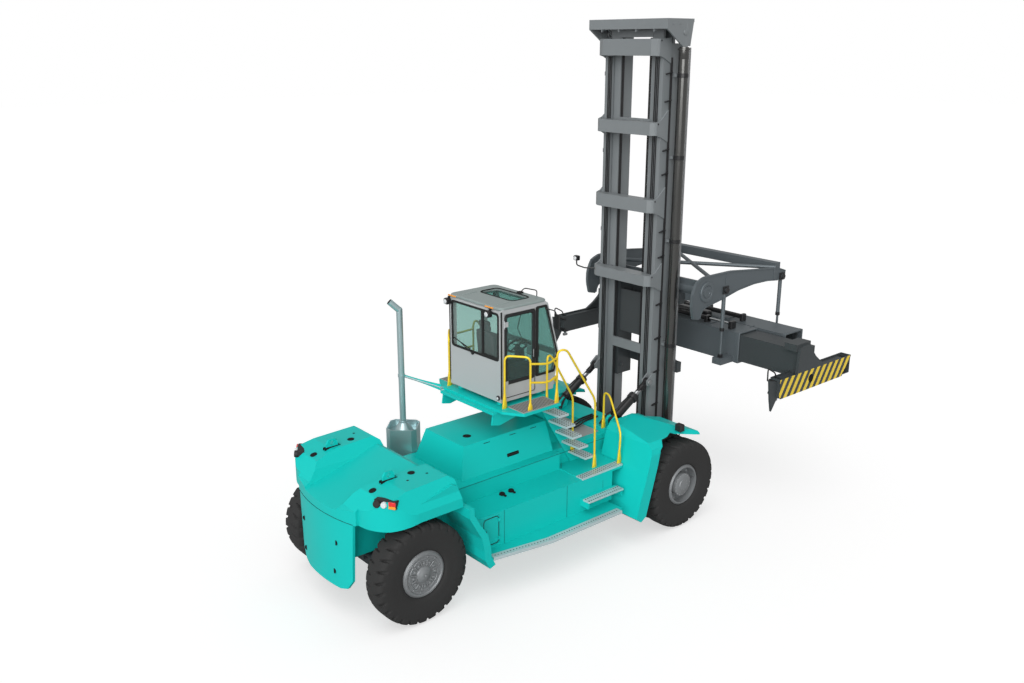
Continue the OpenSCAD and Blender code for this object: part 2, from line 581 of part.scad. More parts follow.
// Carriage: side plates between the columns and two cross rails in front
module lift_carriage() color([0.13, 0.14, 0.15]) place() {
    both() block(500, 900, inner_in - 105, inner_in - 30, 2450, 4500);
    block(520, 560, 110 - inner_in, inner_in - 100, 3420, 4300);
    both() for (z = [2650, 4250]) cross_pin(600, z, inner_in - 40, inner_in - 0.3, 85);
    for (z = [2720, 4150]) block(880, 1000, -1000, 1000, z, z + 210);
    both() block(880, 990, 560, 700, 2800, 4300);
}

// Tilt cylinders
tilt_ang = atan2(tilt_eye[1] - tilt_base[1], tilt_eye[0] - tilt_base[0]);
module tilt_frame(s) { side(s) translate([tilt_base[0], tilt_y, tilt_base[1]]) rotate([0, -tilt_ang, 0])
    children(); }
tilt_len = norm(tilt_eye - tilt_base);
module tilt_barrel(s) color([0.06, 0.06, 0.07]) place() tilt_frame(s) difference() {
    union() {
        translate([0, 45, 0]) rotate([90, 0, 0]) cylinder(r = 75, h = 90);
        block(30, 145, -44, 44, -60, 60);
        translate([135, 0, 0]) rotate([0, 90, 0]) cylinder(r = 85, h = 560);
        translate([660, 0, 0]) rotate([0, 90, 0]) cylinder(r = 100, h = 70);
    }
    translate([0, 50, 0]) rotate([90, 0, 0]) cylinder(r = 34.3, h = 100);
    translate([180, 0, 0]) rotate([0, 90, 0]) cylinder(r = 58, h = 480);
    translate([600, 0, 0]) rotate([0, 90, 0]) cylinder(r = 48.3, h = 200);
}
module tilt_rod(s) color([0.75, 0.77, 0.78]) place() tilt_frame(s) difference() {
    union() {
        translate([360, 0, 0]) rotate([0, 90, 0]) cylinder(r = 48, h = tilt_len - 360 - 145);
        translate([360, 0, 0]) rotate([0, 90, 0]) cylinder(r = 57, h = 60);
        translate([tilt_len, 38, 0]) rotate([90, 0, 0]) cylinder(r = 75, h = 76);
        block(tilt_len - 150, tilt_len - 50, -37, 37, -46, 46);
        translate([tilt_len - 230, 0, 0]) rotate([0, 90, 0]) cylinder(r = 60, h = 90);
    }
    // the eye keeps room for the drift between the rod and the mast's pin
    translate([tilt_len, 50, 0]) rotate([90, 0, 0]) cylinder(r = 41, h = 100);
}
module tilt_barrel_left() tilt_barrel(1);
module tilt_barrel_right() tilt_barrel(-1);
module tilt_rod_left() tilt_rod(1);
module tilt_rod_right() tilt_rod(-1);

// Spreader
arm_y = 1450;
tube_z0 = 2850;
tube_z1 = 3480;
tube_w = 610;
tube_in = 1610;
tube_out = 2250;
module spreader_arms() color([0.20, 0.22, 0.23]) place() {
    both() difference() {
        side_plate([[930, 3915], [740, 3960], [675, 4200], [680, 4440], [790, 4680], [1010, 4765],
            [1870, 4765], [3060, 4640],
            [3440, 4610], [3730, 4510], [3730, 4320], [3440, 4325], [3090, 4365], [2620, 4370],
                [2110, 4320], [1540, 4200],
            [1190, 4150], [1020, 4110], [950, 4030]], arm_y - 40, arm_y);
        cross_pin(1110, 4450, arm_y - 50, arm_y + 10, 90);
    }
    cross_pin(1110, 4450, -arm_y - 30, arm_y + 30, 115);
    block(3380, 3560, -arm_y + 30, arm_y - 30, 4520, 4700);
    block(1030, 1090, -arm_y + 30, arm_y - 30, 4215, 4650);
    both() block(1030, 1100, 480, 640, 2700, 4400);
    block(930, 1035, -800, 800, 4360.3, 4420);
    block(1030, 1100, -800, 800, 2720, 2900);
    both() bar([1400, -arm_y + 30, 4610], [3400, arm_y - 30, 4610], 40);
    // hang rods: [x, lower end]
    for (h = [[1695, 2990.3], [3590, 2990.3]]) both() {
        bar([h[0], arm_y - 20, 4380], [h[0], arm_y - 20, h[1]], 24);
        bar([h[0], arm_y - 20, 4400], [h[0], arm_y - 20, 3570], 40);
        cross_pin(h[0], 4400, arm_y - 60, arm_y + 50, 55);
    }
}
module tube_box(x0, y0, y1) {
    difference() {
        block(x0, x0 + tube_w, y0, y1, tube_z0, tube_z1);
        block(x0 + 30, x0 + tube_w - 30, y0 - 1, y1 + 1, tube_z0 + 25, tube_z1 - 25);
    }
}
rear_tube = spreader_mid - 20 - tube_w;
front_tube = spreader_mid + 20;
module spreader_frame() color([0.20, 0.22, 0.23]) place() {
    tube_box(rear_tube, -tube_in, tube_out);
    tube_box(front_tube, -tube_out, tube_in);
    for (y = [-1500, -100, 1300]) block(spreader_mid - 25, spreader_mid + 25, y, y + 200, tube_z0 + 100,
        tube_z1 - 100);
    // lugs that carry the hang rods
    both() block(1580, rear_tube + 5, arm_y - 130, arm_y + 90, 2860, 2990);
    both() block(front_tube + tube_w - 5, 3680, arm_y - 130, arm_y + 90, 2860, 2990);
}

// End beams: telescopic box, end plate and cross beam with corner guides
box_y0 = 2200;
lock_x = 2259/2;
lock_y = spreader_len/2 - 163.5;
module end_beam(s, x0) color([0.20, 0.22, 0.23]) place() side(s) {
    e = spreader_len/2;
    difference() {
        union() {
            block(x0 + 42, x0 + tube_w - 42, -box_y0, e - 55, tube_z0 + 37, tube_z1 - 37);
            block(x0 + 30.3, x0 + tube_w - 30.3, -box_y0, -box_y0 + 120, tube_z0 + 25.3, tube_z1 - 25.3);
        }
        block(x0 + 66, x0 + tube_w - 66, -box_y0 - 1, e - 80, tube_z0 + 61, tube_z1 - 61);
    }
    difference() {
        union() {
            block(spreader_x0, spreader_x1, e - 230, e - 15, 2620, spreader_top);
            side_plate([[spreader_x0 + 40, 2600], [spreader_x0, 2660], [spreader_x0, spreader_top],
                [spreader_x1, spreader_top], [spreader_x1 - 50, 2900], [spreader_x1 - 330, 2600]],
                    e - 16, e);
        }
        block(spreader_x0 + 15, spreader_x1 - 15, e - 215, e - 15, 2640, spreader_top + 1);
        for (x = [spreader_mid - lock_x, spreader_mid + lock_x]) translate([x, lock_y, 2600])
            cylinder(r = 30.3, h = 60);
    }
    block(spreader_x0 + 200, spreader_x1 - 200, e - 225, e - 5, 2930, 2965);
    // corner guide that hangs at the rear end
    side_plate([[spreader_x0 - 250, 3010], [spreader_x0 - 10, 2950], [spreader_x0 + 30, 2600],
        [spreader_x0 - 130, 2370], [spreader_x0 - 190, 2620]], e - 110, e - 70);
}
module end_plate(x0) {
    side_plate([[x0 - 40, 2990], [x0 + 10, tube_z1 + 30], [x0 + 330, tube_z1 + 50], [x0 + 430, 3380],
        [x0 + 560, 3240],
        [x0 + 720, 3120], [x0 + 850, 3050], [x0 + 960, 2990]], spreader_len/2 - 60, spreader_len/2);
    block(x0 - 60, x0 + 410, spreader_len/2 - 330, spreader_len/2 - 55, tube_z1 - 50, tube_z1 + 90);
}
module end_beam_right() { end_beam(-1, rear_tube); color([0.20, 0.22, 0.23]) place() side(-1)
    end_plate(rear_tube); }
module end_beam_left() {
    end_beam(1, front_tube);
    color([0.20, 0.22, 0.23]) place() translate([2*spreader_mid, 0, 0]) mirror([1, 0, 0])
        end_plate(rear_tube);
}

module twistlock(x, s) color([0.35, 0.36, 0.37]) place() side(s) translate([x, lock_y, 0]) {
    translate([0, 0, 2560]) cylinder(r = 30, h = 300);
    translate([0, 0, 2640.3]) cylinder(r = 45, h = 40);
    translate([0, 0, 2515]) linear_extrude(50) polygon([[-52, -28], [52, -28], [52, 28], [-52, 28]]);
}
module twistlock_front_left() twistlock(spreader_mid + lock_x, 1);
module twistlock_front_right() twistlock(spreader_mid + lock_x, -1);
module twistlock_rear_left() twistlock(spreader_mid - lock_x, 1);
module twistlock_rear_right() twistlock(spreader_mid - lock_x, -1);

chassis_frame();
counterweight();
drive_axle();
steer_axle();
engine_block();
side_boxes();
access_steps();
front_fenders();
rear_mudguards();
cab_platform();
safety_rails();
exhaust_stack();
cab_shell();
cab_glazing();
cab_interior();
engine_hood();
cab_door_left();
cab_door_right();
box_door();
knuckle_left();
knuckle_right();
steer_tyre_left();
steer_rim_left();
steer_tyre_right();
steer_rim_right();
drive_tyres_left();
drive_rims_left();
drive_tyres_right();
drive_rims_right();
mast_outer();
hoist_barrels();
mast_inner();
lift_carriage();
tilt_barrel_left();
tilt_barrel_right();
tilt_rod_left();
tilt_rod_right();
spreader_arms();
spreader_frame();
end_beam_left();
end_beam_right();
twistlock_front_left();
twistlock_front_right();
twistlock_rear_left();
twistlock_rear_right();
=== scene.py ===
"""Laden container handler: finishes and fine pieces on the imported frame.

Sizes are written in the truck's own coordinates, in metres: x forward from the drive
axle, y to the driver's left, z up from the ground.  TRUCK moves them into the frame.
"""

import json
import logging
from dataclasses import dataclass
from enum import Enum
from typing import Sequence

import bmesh
import bpy
import numpy as np
from mathutils import Euler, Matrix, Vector

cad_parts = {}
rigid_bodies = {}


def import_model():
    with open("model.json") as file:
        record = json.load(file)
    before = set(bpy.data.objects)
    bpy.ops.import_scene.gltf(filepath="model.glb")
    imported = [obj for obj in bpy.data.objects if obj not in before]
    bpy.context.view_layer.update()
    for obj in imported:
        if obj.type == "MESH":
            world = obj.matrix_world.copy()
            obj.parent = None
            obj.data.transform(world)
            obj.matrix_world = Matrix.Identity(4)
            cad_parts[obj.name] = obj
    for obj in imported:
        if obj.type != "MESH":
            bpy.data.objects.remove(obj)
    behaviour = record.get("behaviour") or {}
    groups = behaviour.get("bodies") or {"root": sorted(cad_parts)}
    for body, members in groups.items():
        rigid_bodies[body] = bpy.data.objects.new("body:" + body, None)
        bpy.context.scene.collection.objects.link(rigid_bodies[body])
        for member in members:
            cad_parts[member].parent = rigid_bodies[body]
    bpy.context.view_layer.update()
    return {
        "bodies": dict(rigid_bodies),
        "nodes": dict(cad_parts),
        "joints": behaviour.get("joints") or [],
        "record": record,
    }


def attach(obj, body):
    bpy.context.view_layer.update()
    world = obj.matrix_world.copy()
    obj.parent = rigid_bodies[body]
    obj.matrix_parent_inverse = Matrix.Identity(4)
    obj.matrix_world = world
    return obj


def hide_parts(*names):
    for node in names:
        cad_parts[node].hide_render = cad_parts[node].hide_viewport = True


Array = np.ndarray
Point = tuple[float, float, float]
Colour = tuple[float, float, float]

TRUCK = np.array([1.485, 0.0, 0.0])
LOG = logging.getLogger("handler")


class Plane(Enum):
    """The plane that a flat outline lies in, as the order of its axes and its normal."""

    XY = (0, 1, 2)
    XZ = (0, 2, 1)
    YZ = (1, 2, 0)


class Side(Enum):
    """Left or right half of the truck, with the sign of its y."""

    LEFT = 1
    RIGHT = -1

    @property
    def word(self) -> str:
        """The side's name as the frame writes it."""
        return self.name.lower()


def span(side: float, near: float, far: float) -> tuple[float, float]:
    """The y range from near to far on one side of the machine, lower end first."""
    low, high = sorted((side * near, side * far))
    return low, high


def round_head(radius: float, wall: float, top_radius: float, height: float) -> list[tuple[float, float]]:
    """The profile of a closed round head: a straight wall, then a chamfer up to its flat top."""
    return [(radius, 0.0), (radius, wall), (top_radius, height), (0.001, height)]


def unit(vector: Array) -> Array:
    """Scale vectors along the last axis to length one."""
    return vector / np.maximum(np.linalg.norm(vector, axis=-1, keepdims=True), 1e-12)


def grid_quads(rows: int, columns: int, loop_rows: bool, loop_columns: bool) -> Array:
    """Quads of a rows by columns grid of points.

    Args:
        rows: number of points along the first parameter.
        columns: number of points along the second.
        loop_rows: whether the last row meets the first.
        loop_columns: whether the last column meets the first.

    Returns:
        Array (n, 4) of point numbers.
    """
    r = np.arange(rows if loop_rows else rows - 1)
    c = np.arange(columns if loop_columns else columns - 1)
    rr, cc = np.meshgrid(r, c, indexing="ij")
    r2, c2 = (rr + 1) % rows, (cc + 1) % columns
    return np.stack([rr * columns + cc, r2 * columns + cc, r2 * columns + c2, rr * columns + c2],
            -1).reshape(-1, 4)


def round_corners(points: Sequence[Point], radius: float, steps: int = 6) -> Array:
    """A path of straight runs whose corners are parabolic arcs.

    Each corner P between A and B becomes the curve (1-t)^2 A' + 2t(1-t) P + t^2 B', where
    A' and B' lie on the runs at the given radius from P, or at half the run if it is short.

    Args:
        points: corner points.
        radius: distance of each arc's ends from its corner.
        steps: points on each arc.

    Returns:
        Array (n, 3) of path points.
    """
    p = np.asarray(points, float)
    if len(p) < 3:
        return p
    before, after = p[:-2] - p[1:-1], p[2:] - p[1:-1]
    reach_a = np.minimum(radius, np.linalg.norm(before, axis=1) * 0.49)[:, None]
    reach_b = np.minimum(radius, np.linalg.norm(after, axis=1) * 0.49)[:, None]
    a, b, mid = p[1:-1] + unit(before) * reach_a, p[1:-1] + unit(after) * reach_b, p[1:-1]
    t = np.linspace(0.0, 1.0, steps)[None, :, None]
    arcs = (1 - t) ** 2 * a[:, None] + 2 * t * (1 - t) * mid[:, None] + t ** 2 * b[:, None]
    return np.vstack([p[:1], arcs.reshape(-1, 3), p[-1:]])


def inset_outline(outline: Array, depth: float) -> Array:
    """Move each side of a closed outline inwards by depth, and meet the sides again.

    A corner moves along the sum of its two sides' inward normals, divided by one plus
    their dot product.  The outline's area sign tells which way is inwards.
    """
    side = unit(np.roll(outline, -1, 0) - outline)
    area = np.sum(outline[:, 0] * np.roll(outline[:, 1], -1) - np.roll(outline[:, 0], -1) * outline[:, 1])
    normal = np.stack([-side[:, 1], side[:, 0]], 1) * np.sign(area)
    last = np.roll(normal, 1, 0)
    spread = np.maximum(1.0 + np.sum(normal * last, 1, keepdims=True), 0.35)
    return outline + depth * (normal + last) / spread


def rounded(x: tuple[float, float], y: tuple[float, float], radius: float, steps: int = 5) -> Array:
    """Outline of a rectangle with its corners rounded."""
    return soft_outline([(x[0], y[0]), (x[1], y[0]), (x[1], y[1]), (x[0], y[1])], radius, steps)


def soft_outline(corners: Sequence[tuple[float, float]], radius: float, steps: int = 5) -> Array:
    """A closed outline whose corners are parabolic arcs of the given reach."""
    flat = np.asarray(corners, float)
    mid = (flat[-1] + flat[0]) / 2
    path = np.vstack([mid, flat, mid])
    path = np.column_stack([path, np.zeros(len(path))])
    return round_corners(path, radius, steps)[:-1, :2]


class Shape:
    """Surfaces gathered in truck coordinates, to become one object."""

    def __init__(self) -> None:
        """Start with no points."""
        self.points: list[Array] = []
        self.faces: list[Array] = []
        self.count = 0

    def add(self, points: Array, *faces: Array) -> "Shape":
        """Add points and the faces between them, numbered from the first of these points."""
        points = np.asarray(points, float).reshape(-1, 3)
        self.points.append(points)
        self.faces += [np.atleast_2d(f) + self.count for f in faces if len(f)]
        self.count += len(points)
        return self

    def merge(self, other: "Shape", matrix: Array | None = None) -> "Shape":
        """Add another shape, turned by a 3 by 3 matrix and moved by its fourth column if given."""
        start = self.count
        points = np.vstack(other.points)
        if matrix is not None:
            points = points @ matrix[:, :3].T + matrix[:, 3]
        self.points.append(points)
        flip = matrix is not None and np.linalg.det(matrix[:, :3]) < 0
        self.faces += [(f[:, ::-1] if flip else f) + start for f in other.faces]
        self.count += len(points)
        return self

    def copies(self, other: "Shape", places: Sequence[Point]) -> "Shape":
        """Add the same small shape, moved to each place."""
        for place in places:
            self.merge(other, np.column_stack([np.eye(3), np.asarray(place, float)]))
        return self

    def mirrored(self) -> "Shape":
        """Add the shape's own mirror image across the truck's middle."""
        twin = Shape()
        twin.points, twin.faces, twin.count = list(self.points), list(self.faces), self.count
        return self.merge(twin, np.array([[1.0, 0, 0, 0], [0, -1, 0, 0], [0, 0, 1, 0]]))

    def grid(self, p: Array, loop_rows: bool = False, loop_columns: bool = False,
            caps: bool = False) -> "Shape":
        """Add a surface whose points are p[row, column], with its end rows closed on request."""
        rows, columns = p.shape[:2]
        faces = [grid_quads(rows, columns, loop_rows, loop_columns)]
        if caps:
            ring = np.arange(columns)
            faces += [ring[::-1][None], (ring + (rows - 1) * columns)[None]]
        return self.add(p.reshape(-1, 3), *faces)

    def plate(self, outline: Sequence[tuple[float, float]], plane: Plane, lo: float, hi: float,
              edge: float = 0.004) -> "Shape":
        """Add a flat outline drawn from lo to hi along its plane's normal, with chamfered rims.

        The four sections are the outline, pulled in by edge at both faces.

        Args:
            outline: corners in the plane.
            plane: the plane.
            lo: first face.
            hi: second face.
            edge: width of the chamfer.
        """
        flat = np.asarray(outline, float)
        edge = min(edge, (hi - lo) * 0.4)
        inner = inset_outline(flat, edge)
        level = [lo, lo + edge, hi - edge, hi]
        p = np.empty((4, len(flat), 3))
        for row, section in enumerate([inner, flat, flat, inner]):
            p[row, :, plane.value[0]] = section[:, 0]
            p[row, :, plane.value[1]] = section[:, 1]
            p[row, :, plane.value[2]] = level[row]
        return self.grid(p, loop_columns=True, caps=True)

    def frame(self, outer: Array, inner: Array, plane: Plane, lo: float, hi: float,
            edge: float = 0.003) -> "Shape":
        """Add a flat frame between two outlines with as many points, drawn from lo to hi along the normal."""
        rows = [(inset_outline(outer, edge), lo), (outer, lo + edge), (outer, hi - edge),
                (inset_outline(outer, edge), hi),
                (inset_outline(inner, -edge), hi), (inner, hi - edge), (inner,
                        lo + edge), (inset_outline(inner, -edge), lo)]
        p = np.empty((len(rows), len(outer), 3))
        for row, (section, level) in enumerate(rows):
            p[row, :, plane.value[0]] = section[:, 0]
            p[row, :, plane.value[1]] = section[:, 1]
            p[row, :, plane.value[2]] = level
        return self.grid(p, loop_rows=True, loop_columns=True)

    def seam(self, path: Sequence[Point], radius: float = 0.003, closed: bool = False) -> "Shape":
        """Add a thin dark line along a path of corners, as a tube with five sides."""
        return self.tube(np.asarray(path, float), radius, 5, closed)

    def block(self, x: tuple[float, float], y: tuple[float, float], z: tuple[float, float],
              edge: float = 0.004) -> "Shape":
        """Add a box whose edges are all chamfered: a chamfered rectangle carried along z."""
        edge = min(edge, (x[1] - x[0]) * 0.3, (y[1] - y[0]) * 0.3, (z[1] - z[0]) * 0.3)
        outline = [(x[0] + edge, y[0]), (x[1] - edge, y[0]), (x[1], y[0] + edge), (x[1], y[1] - edge),
                   (x[1] - edge, y[1]), (x[0] + edge, y[1]), (x[0], y[1] - edge), (x[0], y[0] + edge)]
        return self.plate(outline, Plane.XY, z[0], z[1], edge)

    def sweep(self, profile: Array, path: Array, closed: bool = False, caps: bool = True,
              up: Point = (0.0, 0.0, 1.0)) -> "Shape":
        """Carry a closed profile along a path.

        At each path point the profile's first axis is the tangent crossed with the
        start's side, kept square by taking away its part along the tangent.

        Args:
            profile: (n, 2) points of the section.
            path: (m, 3) points.
            closed: whether the path's end meets its start.
            caps: whether open ends are closed.
            up: direction that the profile's second axis leans towards.
        """
        path = np.asarray(path, float)
        if closed:
            tangent = unit(np.roll(path, -1, 0) - np.roll(path, 1, 0))
        else:
            tangent = unit(np.gradient(path, axis=0))
        ref = np.asarray(up, float)
        if abs(np.dot(unit(ref), tangent[0])) > 0.95:
            ref = np.array([1.0, 0.0, 0.0]) if abs(tangent[0, 0]) < 0.9 else np.array([0.0, 1.0, 0.0])
        normal = np.empty_like(path)
        for i, t in enumerate(tangent):
            ref = unit(ref - np.dot(ref, t) * t)
            normal[i] = ref
        side = np.cross(tangent, normal)
        p = path[:, None] + profile[None, :, :1] * side[:, None] + profile[None, :, 1:] * normal[:, None]
        return self.grid(p, loop_rows=closed, loop_columns=True, caps=caps and not closed)

    def tube(self, path: Array, radius: float, sides: int = 12, closed: bool = False) -> "Shape":
        """Add a round tube along a path: a circle carried along it."""
        a = np.linspace(0, 2 * np.pi, sides, endpoint=False)
        return self.sweep(np.stack([np.cos(a), np.sin(a)], 1) * radius, np.asarray(path, float), closed)

    def lathe(self, profile: Sequence[tuple[float, float]], centre: Point, axis: Point = (0.0, 0.0, 1.0),
              sides: int = 32, turn: float = 0.0) -> "Shape":
        """Add a profile of (radius, height) turned round an axis through centre.

        Args:
            profile: radius and height of each ring; a radius of nearly zero makes a small cap.
            centre: a point on the axis at height zero.
            axis: the axis's direction.
            sides: points on each ring.
            turn: angle of the first point.
        """
        n = unit(np.asarray(axis, float))
        first = unit(np.cross(n, [0.0, 0.0, 1.0] if abs(n[2]) < 0.9 else [1.0, 0.0, 0.0]))
        second = np.cross(n, first)
        a = np.linspace(0, 2 * np.pi, sides, endpoint=False) + turn
        ring = np.cos(a)[:, None] * first + np.sin(a)[:, None] * second
        prof = np.asarray(profile, float)
        p = np.asarray(centre, float) + prof[:, None, :1] * ring[None] + prof[:, None, 1:] * n
        return self.grid(p, loop_columns=True, caps=True)

    def bolt(self, centre: Point, axis: Point, size: float = 0.016) -> "Shape":
        """Add a washer and a hexagon head of the given radius, standing on centre."""
        self.lathe([(size * 1.45, 0.0), (size * 1.45, size * 0.2), (size * 0.9, size * 0.22)], centre, axis,
                12)
        top = np.asarray(centre, float) + unit(np.asarray(axis, float)) * size * 0.2
        return self.lathe([(size, 0.0), (size, size * 0.6), (size * 0.86, size * 0.75)], tuple(top), axis, 6)

    def to_object(self, name: str, body: str, finish: "Finish", smooth: float = 0.6,
                  replaces: Sequence[str] = ()) -> bpy.types.Object:
        """Make the object, dress it and let it ride its body.

        Args:
            name: the piece's name.
            body: the frame's body that it rides on.
            finish: the finish on it.
            smooth: edges sharper than this angle, in radians, stay sharp.
            replaces: CAD nodes that it stands for.

        Returns:
            The finished object.
        """
        points = np.vstack(self.points) + TRUCK
        loops = np.concatenate([f.ravel() for f in self.faces])
        totals = np.concatenate([np.full(len(f), f.shape[1]) for f in self.faces])
        starts = np.concatenate([[0], np.cumsum(totals)[:-1]])
        mesh = bpy.data.meshes.new(name)
        mesh.vertices.add(len(points))
        mesh.vertices.foreach_set("co", points.ravel())
        mesh.loops.add(len(loops))
        mesh.loops.foreach_set("vertex_index", loops.astype(np.int32))
        mesh.polygons.add(len(totals))
        mesh.polygons.foreach_set("loop_start", starts.astype(np.int32))
        mesh.polygons.foreach_set("loop_total", totals.astype(np.int32))
        mesh.update(calc_edges=True)
        mesh.validate()
        work = bmesh.new()
        work.from_mesh(mesh)
        bmesh.ops.recalc_face_normals(work, faces=work.faces)
        work.to_mesh(mesh)
        work.free()
        mesh.polygons.foreach_set("use_smooth", np.ones(len(mesh.polygons), bool))
        mesh.set_sharp_from_angle(angle=smooth)
        mesh.materials.append(finish.material())
        obj = bpy.data.objects.new(name, mesh)
        bpy.context.scene.collection.objects.link(obj)
        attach(obj, body)
        if replaces:
            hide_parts(*replaces)
        LOG.info("%s on %s: %d faces", name, body, len(totals))
        return obj


@dataclass(frozen=True)
class Finish:
    """A surface finish: its colour, gloss, slow colour drift and fine grain."""

    name: str
    slot: str
    colour: Colour
    roughness: float = 0.4
    metallic: float = 0.0
    drift: float = 0.06
    drift_size: float = 0.9
    grain: float = 0.03
    grain_size: float = 160.0
    coat: float = 0.0
    specular: float = 0.35
    alpha: float = 1.0
    glow: float = 0.0
    stretch: Point = (1.0, 1.0, 1.0)

    def material(self) -> bpy.types.Material:
        """The Blender material, made at its first use."""
        made = bpy.data.materials.get(self.name)
        return made if made else self.build()

    def build(self) -> bpy.types.Material:
        """Make the nodes: object coordinates, slow noise on the colour, fine noise on gloss and bump."""
        mat = bpy.data.materials.new(self.name)
        mat.use_nodes = True
        tree = mat.node_tree
        shader = tree.nodes["Principled BSDF"]
        shader.inputs["Metallic"].default_value = self.metallic
        shader.inputs["Coat Weight"].default_value = self.coat
        shader.inputs["Coat Roughness"].default_value = 0.12
        shader.inputs["Alpha"].default_value = self.alpha
        shader.inputs["Specular IOR Level"].default_value = self.specular
        if self.glow:
            shader.inputs["Emission Color"].default_value = (*self.colour, 1.0)
            shader.inputs["Emission Strength"].default_value = self.glow
        place = tree.nodes.new("ShaderNodeTexCoord").outputs["Object"]
        warp = tree.nodes.new("ShaderNodeMapping")
        warp.inputs["Scale"].default_value = self.stretch
        tree.links.new(place, warp.inputs["Vector"])
        slow = self.noise(tree, warp.outputs["Vector"], self.drift_size, 4.0)
        fine = self.noise(tree, warp.outputs["Vector"], self.grain_size, 3.0)
        tree.links.new(self.colour_socket(tree, place, slow), shader.inputs["Base Color"])
        gloss = tree.nodes.new("ShaderNodeMapRange")
        gloss.inputs["To Min"].default_value = max(self.roughness - 0.07, 0.02)
        gloss.inputs["To Max"].default_value = min(self.roughness + 0.07, 1.0)
        tree.links.new(slow, gloss.inputs["Value"])
        tree.links.new(gloss.outputs["Result"], shader.inputs["Roughness"])
        bump = tree.nodes.new("ShaderNodeBump")
        bump.inputs["Strength"].default_value = self.grain
        bump.inputs["Distance"].default_value = 0.004
        tree.links.new(fine, bump.inputs["Height"])
        tree.links.new(bump.outputs["Normal"], shader.inputs["Normal"])
        self.extra(tree, place, shader)
        return mat

    def extra(self, tree: bpy.types.NodeTree, place: bpy.types.NodeSocket, shader: bpy.types.Node) -> None:
        """Further links of a special finish; a plain one has none."""

    @staticmethod
    def noise(tree: bpy.types.NodeTree, place: bpy.types.NodeSocket, size: float,
              detail: float) -> bpy.types.NodeSocket:
        """A noise value between 0 and 1 with the given number of patches to a metre."""
        node = tree.nodes.new("ShaderNodeTexNoise")
        node.inputs["Scale"].default_value = size
        node.inputs["Detail"].default_value = detail
        node.inputs["Roughness"].default_value = 0.55
        tree.links.new(place, node.inputs["Vector"])
        return node.outputs["Fac"]

    def mixed(self, tree: bpy.types.NodeTree, factor: bpy.types.NodeSocket, low: Colour,
              high: Colour) -> bpy.types.NodeSocket:
        """A colour that goes from low to high as the factor goes from 0 to 1."""
        mix = tree.nodes.new("ShaderNodeMix")
        mix.data_type = "RGBA"
        mix.inputs["A"].default_value = (*low, 1.0)
        mix.inputs["B"].default_value = (*high, 1.0)
        tree.links.new(factor, mix.inputs["Factor"])
        return mix.outputs["Result"]

    def shade(self, scale: float) -> Colour:
        """The finish's colour, made darker or lighter."""
        return tuple(min(c * scale, 1.0) for c in self.colour)

    def colour_socket(self, tree: bpy.types.NodeTree, place: bpy.types.NodeSocket,
                      slow: bpy.types.NodeSocket) -> bpy.types.NodeSocket:
        """The base colour: the finish's own, a little darker or lighter from patch to patch."""
        return self.mixed(tree, slow, self.shade(1 - self.drift), self.shade(1 + self.drift))


@dataclass(frozen=True)
class StripedPaint(Finish):
    """Paint with slanted warning stripes on the faces past a given |y|."""

    stripe: Colour = (0.75, 0.55, 0.05)
    pitch: float = 0.215
    slant: float = 0.62
    beyond: float = 3.085
    top: float = 2.997

    def colour_socket(self, tree: bpy.types.NodeTree, place: bpy.types.NodeSocket,
                      slow: bpy.types.NodeSocket) -> bpy.types.NodeSocket:
        """Stripes where fract((x - slant z) / pitch) is over half, |y| is past the face and z under its top."""
        def calc(operation: str, *values: float | bpy.types.NodeSocket) -> bpy.types.NodeSocket:
            """One math node on sockets or numbers."""
            node = tree.nodes.new("ShaderNodeMath")
            node.operation = operation
            for slot, value in zip(node.inputs, values):
                if isinstance(value, (int, float)):
                    slot.default_value = value
                else:
                    tree.links.new(value, slot)
            return node.outputs[0]

        axes = tree.nodes.new("ShaderNodeSeparateXYZ")
        tree.links.new(place, axes.inputs[0])
        x, y, z = axes.outputs
        lean = calc("SUBTRACT", x, calc("MULTIPLY", z, self.slant))
        wave = calc("FRACT", calc("DIVIDE", lean, self.pitch))
        on = calc("MULTIPLY", calc("GREATER_THAN", wave, 0.5),
                  calc("MULTIPLY", calc("GREATER_THAN", calc("ABSOLUTE", y), self.beyond),
                       calc("LESS_THAN", z, self.top)))
        base = super().colour_socket(tree, place, slow)
        mix = tree.nodes.new("ShaderNodeMix")
        mix.data_type = "RGBA"
        tree.links.new(on, mix.inputs["Factor"])
        tree.links.new(base, mix.inputs["A"])
        mix.inputs["B"].default_value = (*self.stripe, 1.0)
        return mix.outputs["Result"]


@dataclass(frozen=True)
class PanedGlass(Finish):
    """Tinted glass that light passes straight through; the panes behind a given x are almost clear."""

    clear_behind: float = -1.95
    clear: Colour = (0.93, 0.955, 0.94)
    gloss: float = 0.07

    def extra(self, tree: bpy.types.NodeTree, place: bpy.types.NodeSocket, shader: bpy.types.Node) -> None:
        """Each face lets the tint through, and a small share of it is a plain glossy surface."""
        axes = tree.nodes.new("ShaderNodeSeparateXYZ")
        tree.links.new(place, axes.inputs[0])
        front = tree.nodes.new("ShaderNodeMath")
        front.operation = "GREATER_THAN"
        front.inputs[1].default_value = self.clear_behind
        tree.links.new(axes.outputs[0], front.inputs[0])
        through = tree.nodes.new("ShaderNodeBsdfTransparent")
        tint = self.mixed(tree, front.outputs[0], self.clear, self.colour)
        tree.links.new(tint, through.inputs["Color"])
        both = tree.nodes.new("ShaderNodeMixShader")
        both.inputs["Fac"].default_value = self.gloss
        tree.links.new(through.outputs[0], both.inputs[1])
        tree.links.new(shader.outputs[0], both.inputs[2])
        out = next(node for node in tree.nodes if node.type == "OUTPUT_MATERIAL")
        tree.links.new(both.outputs[0], out.inputs["Surface"])


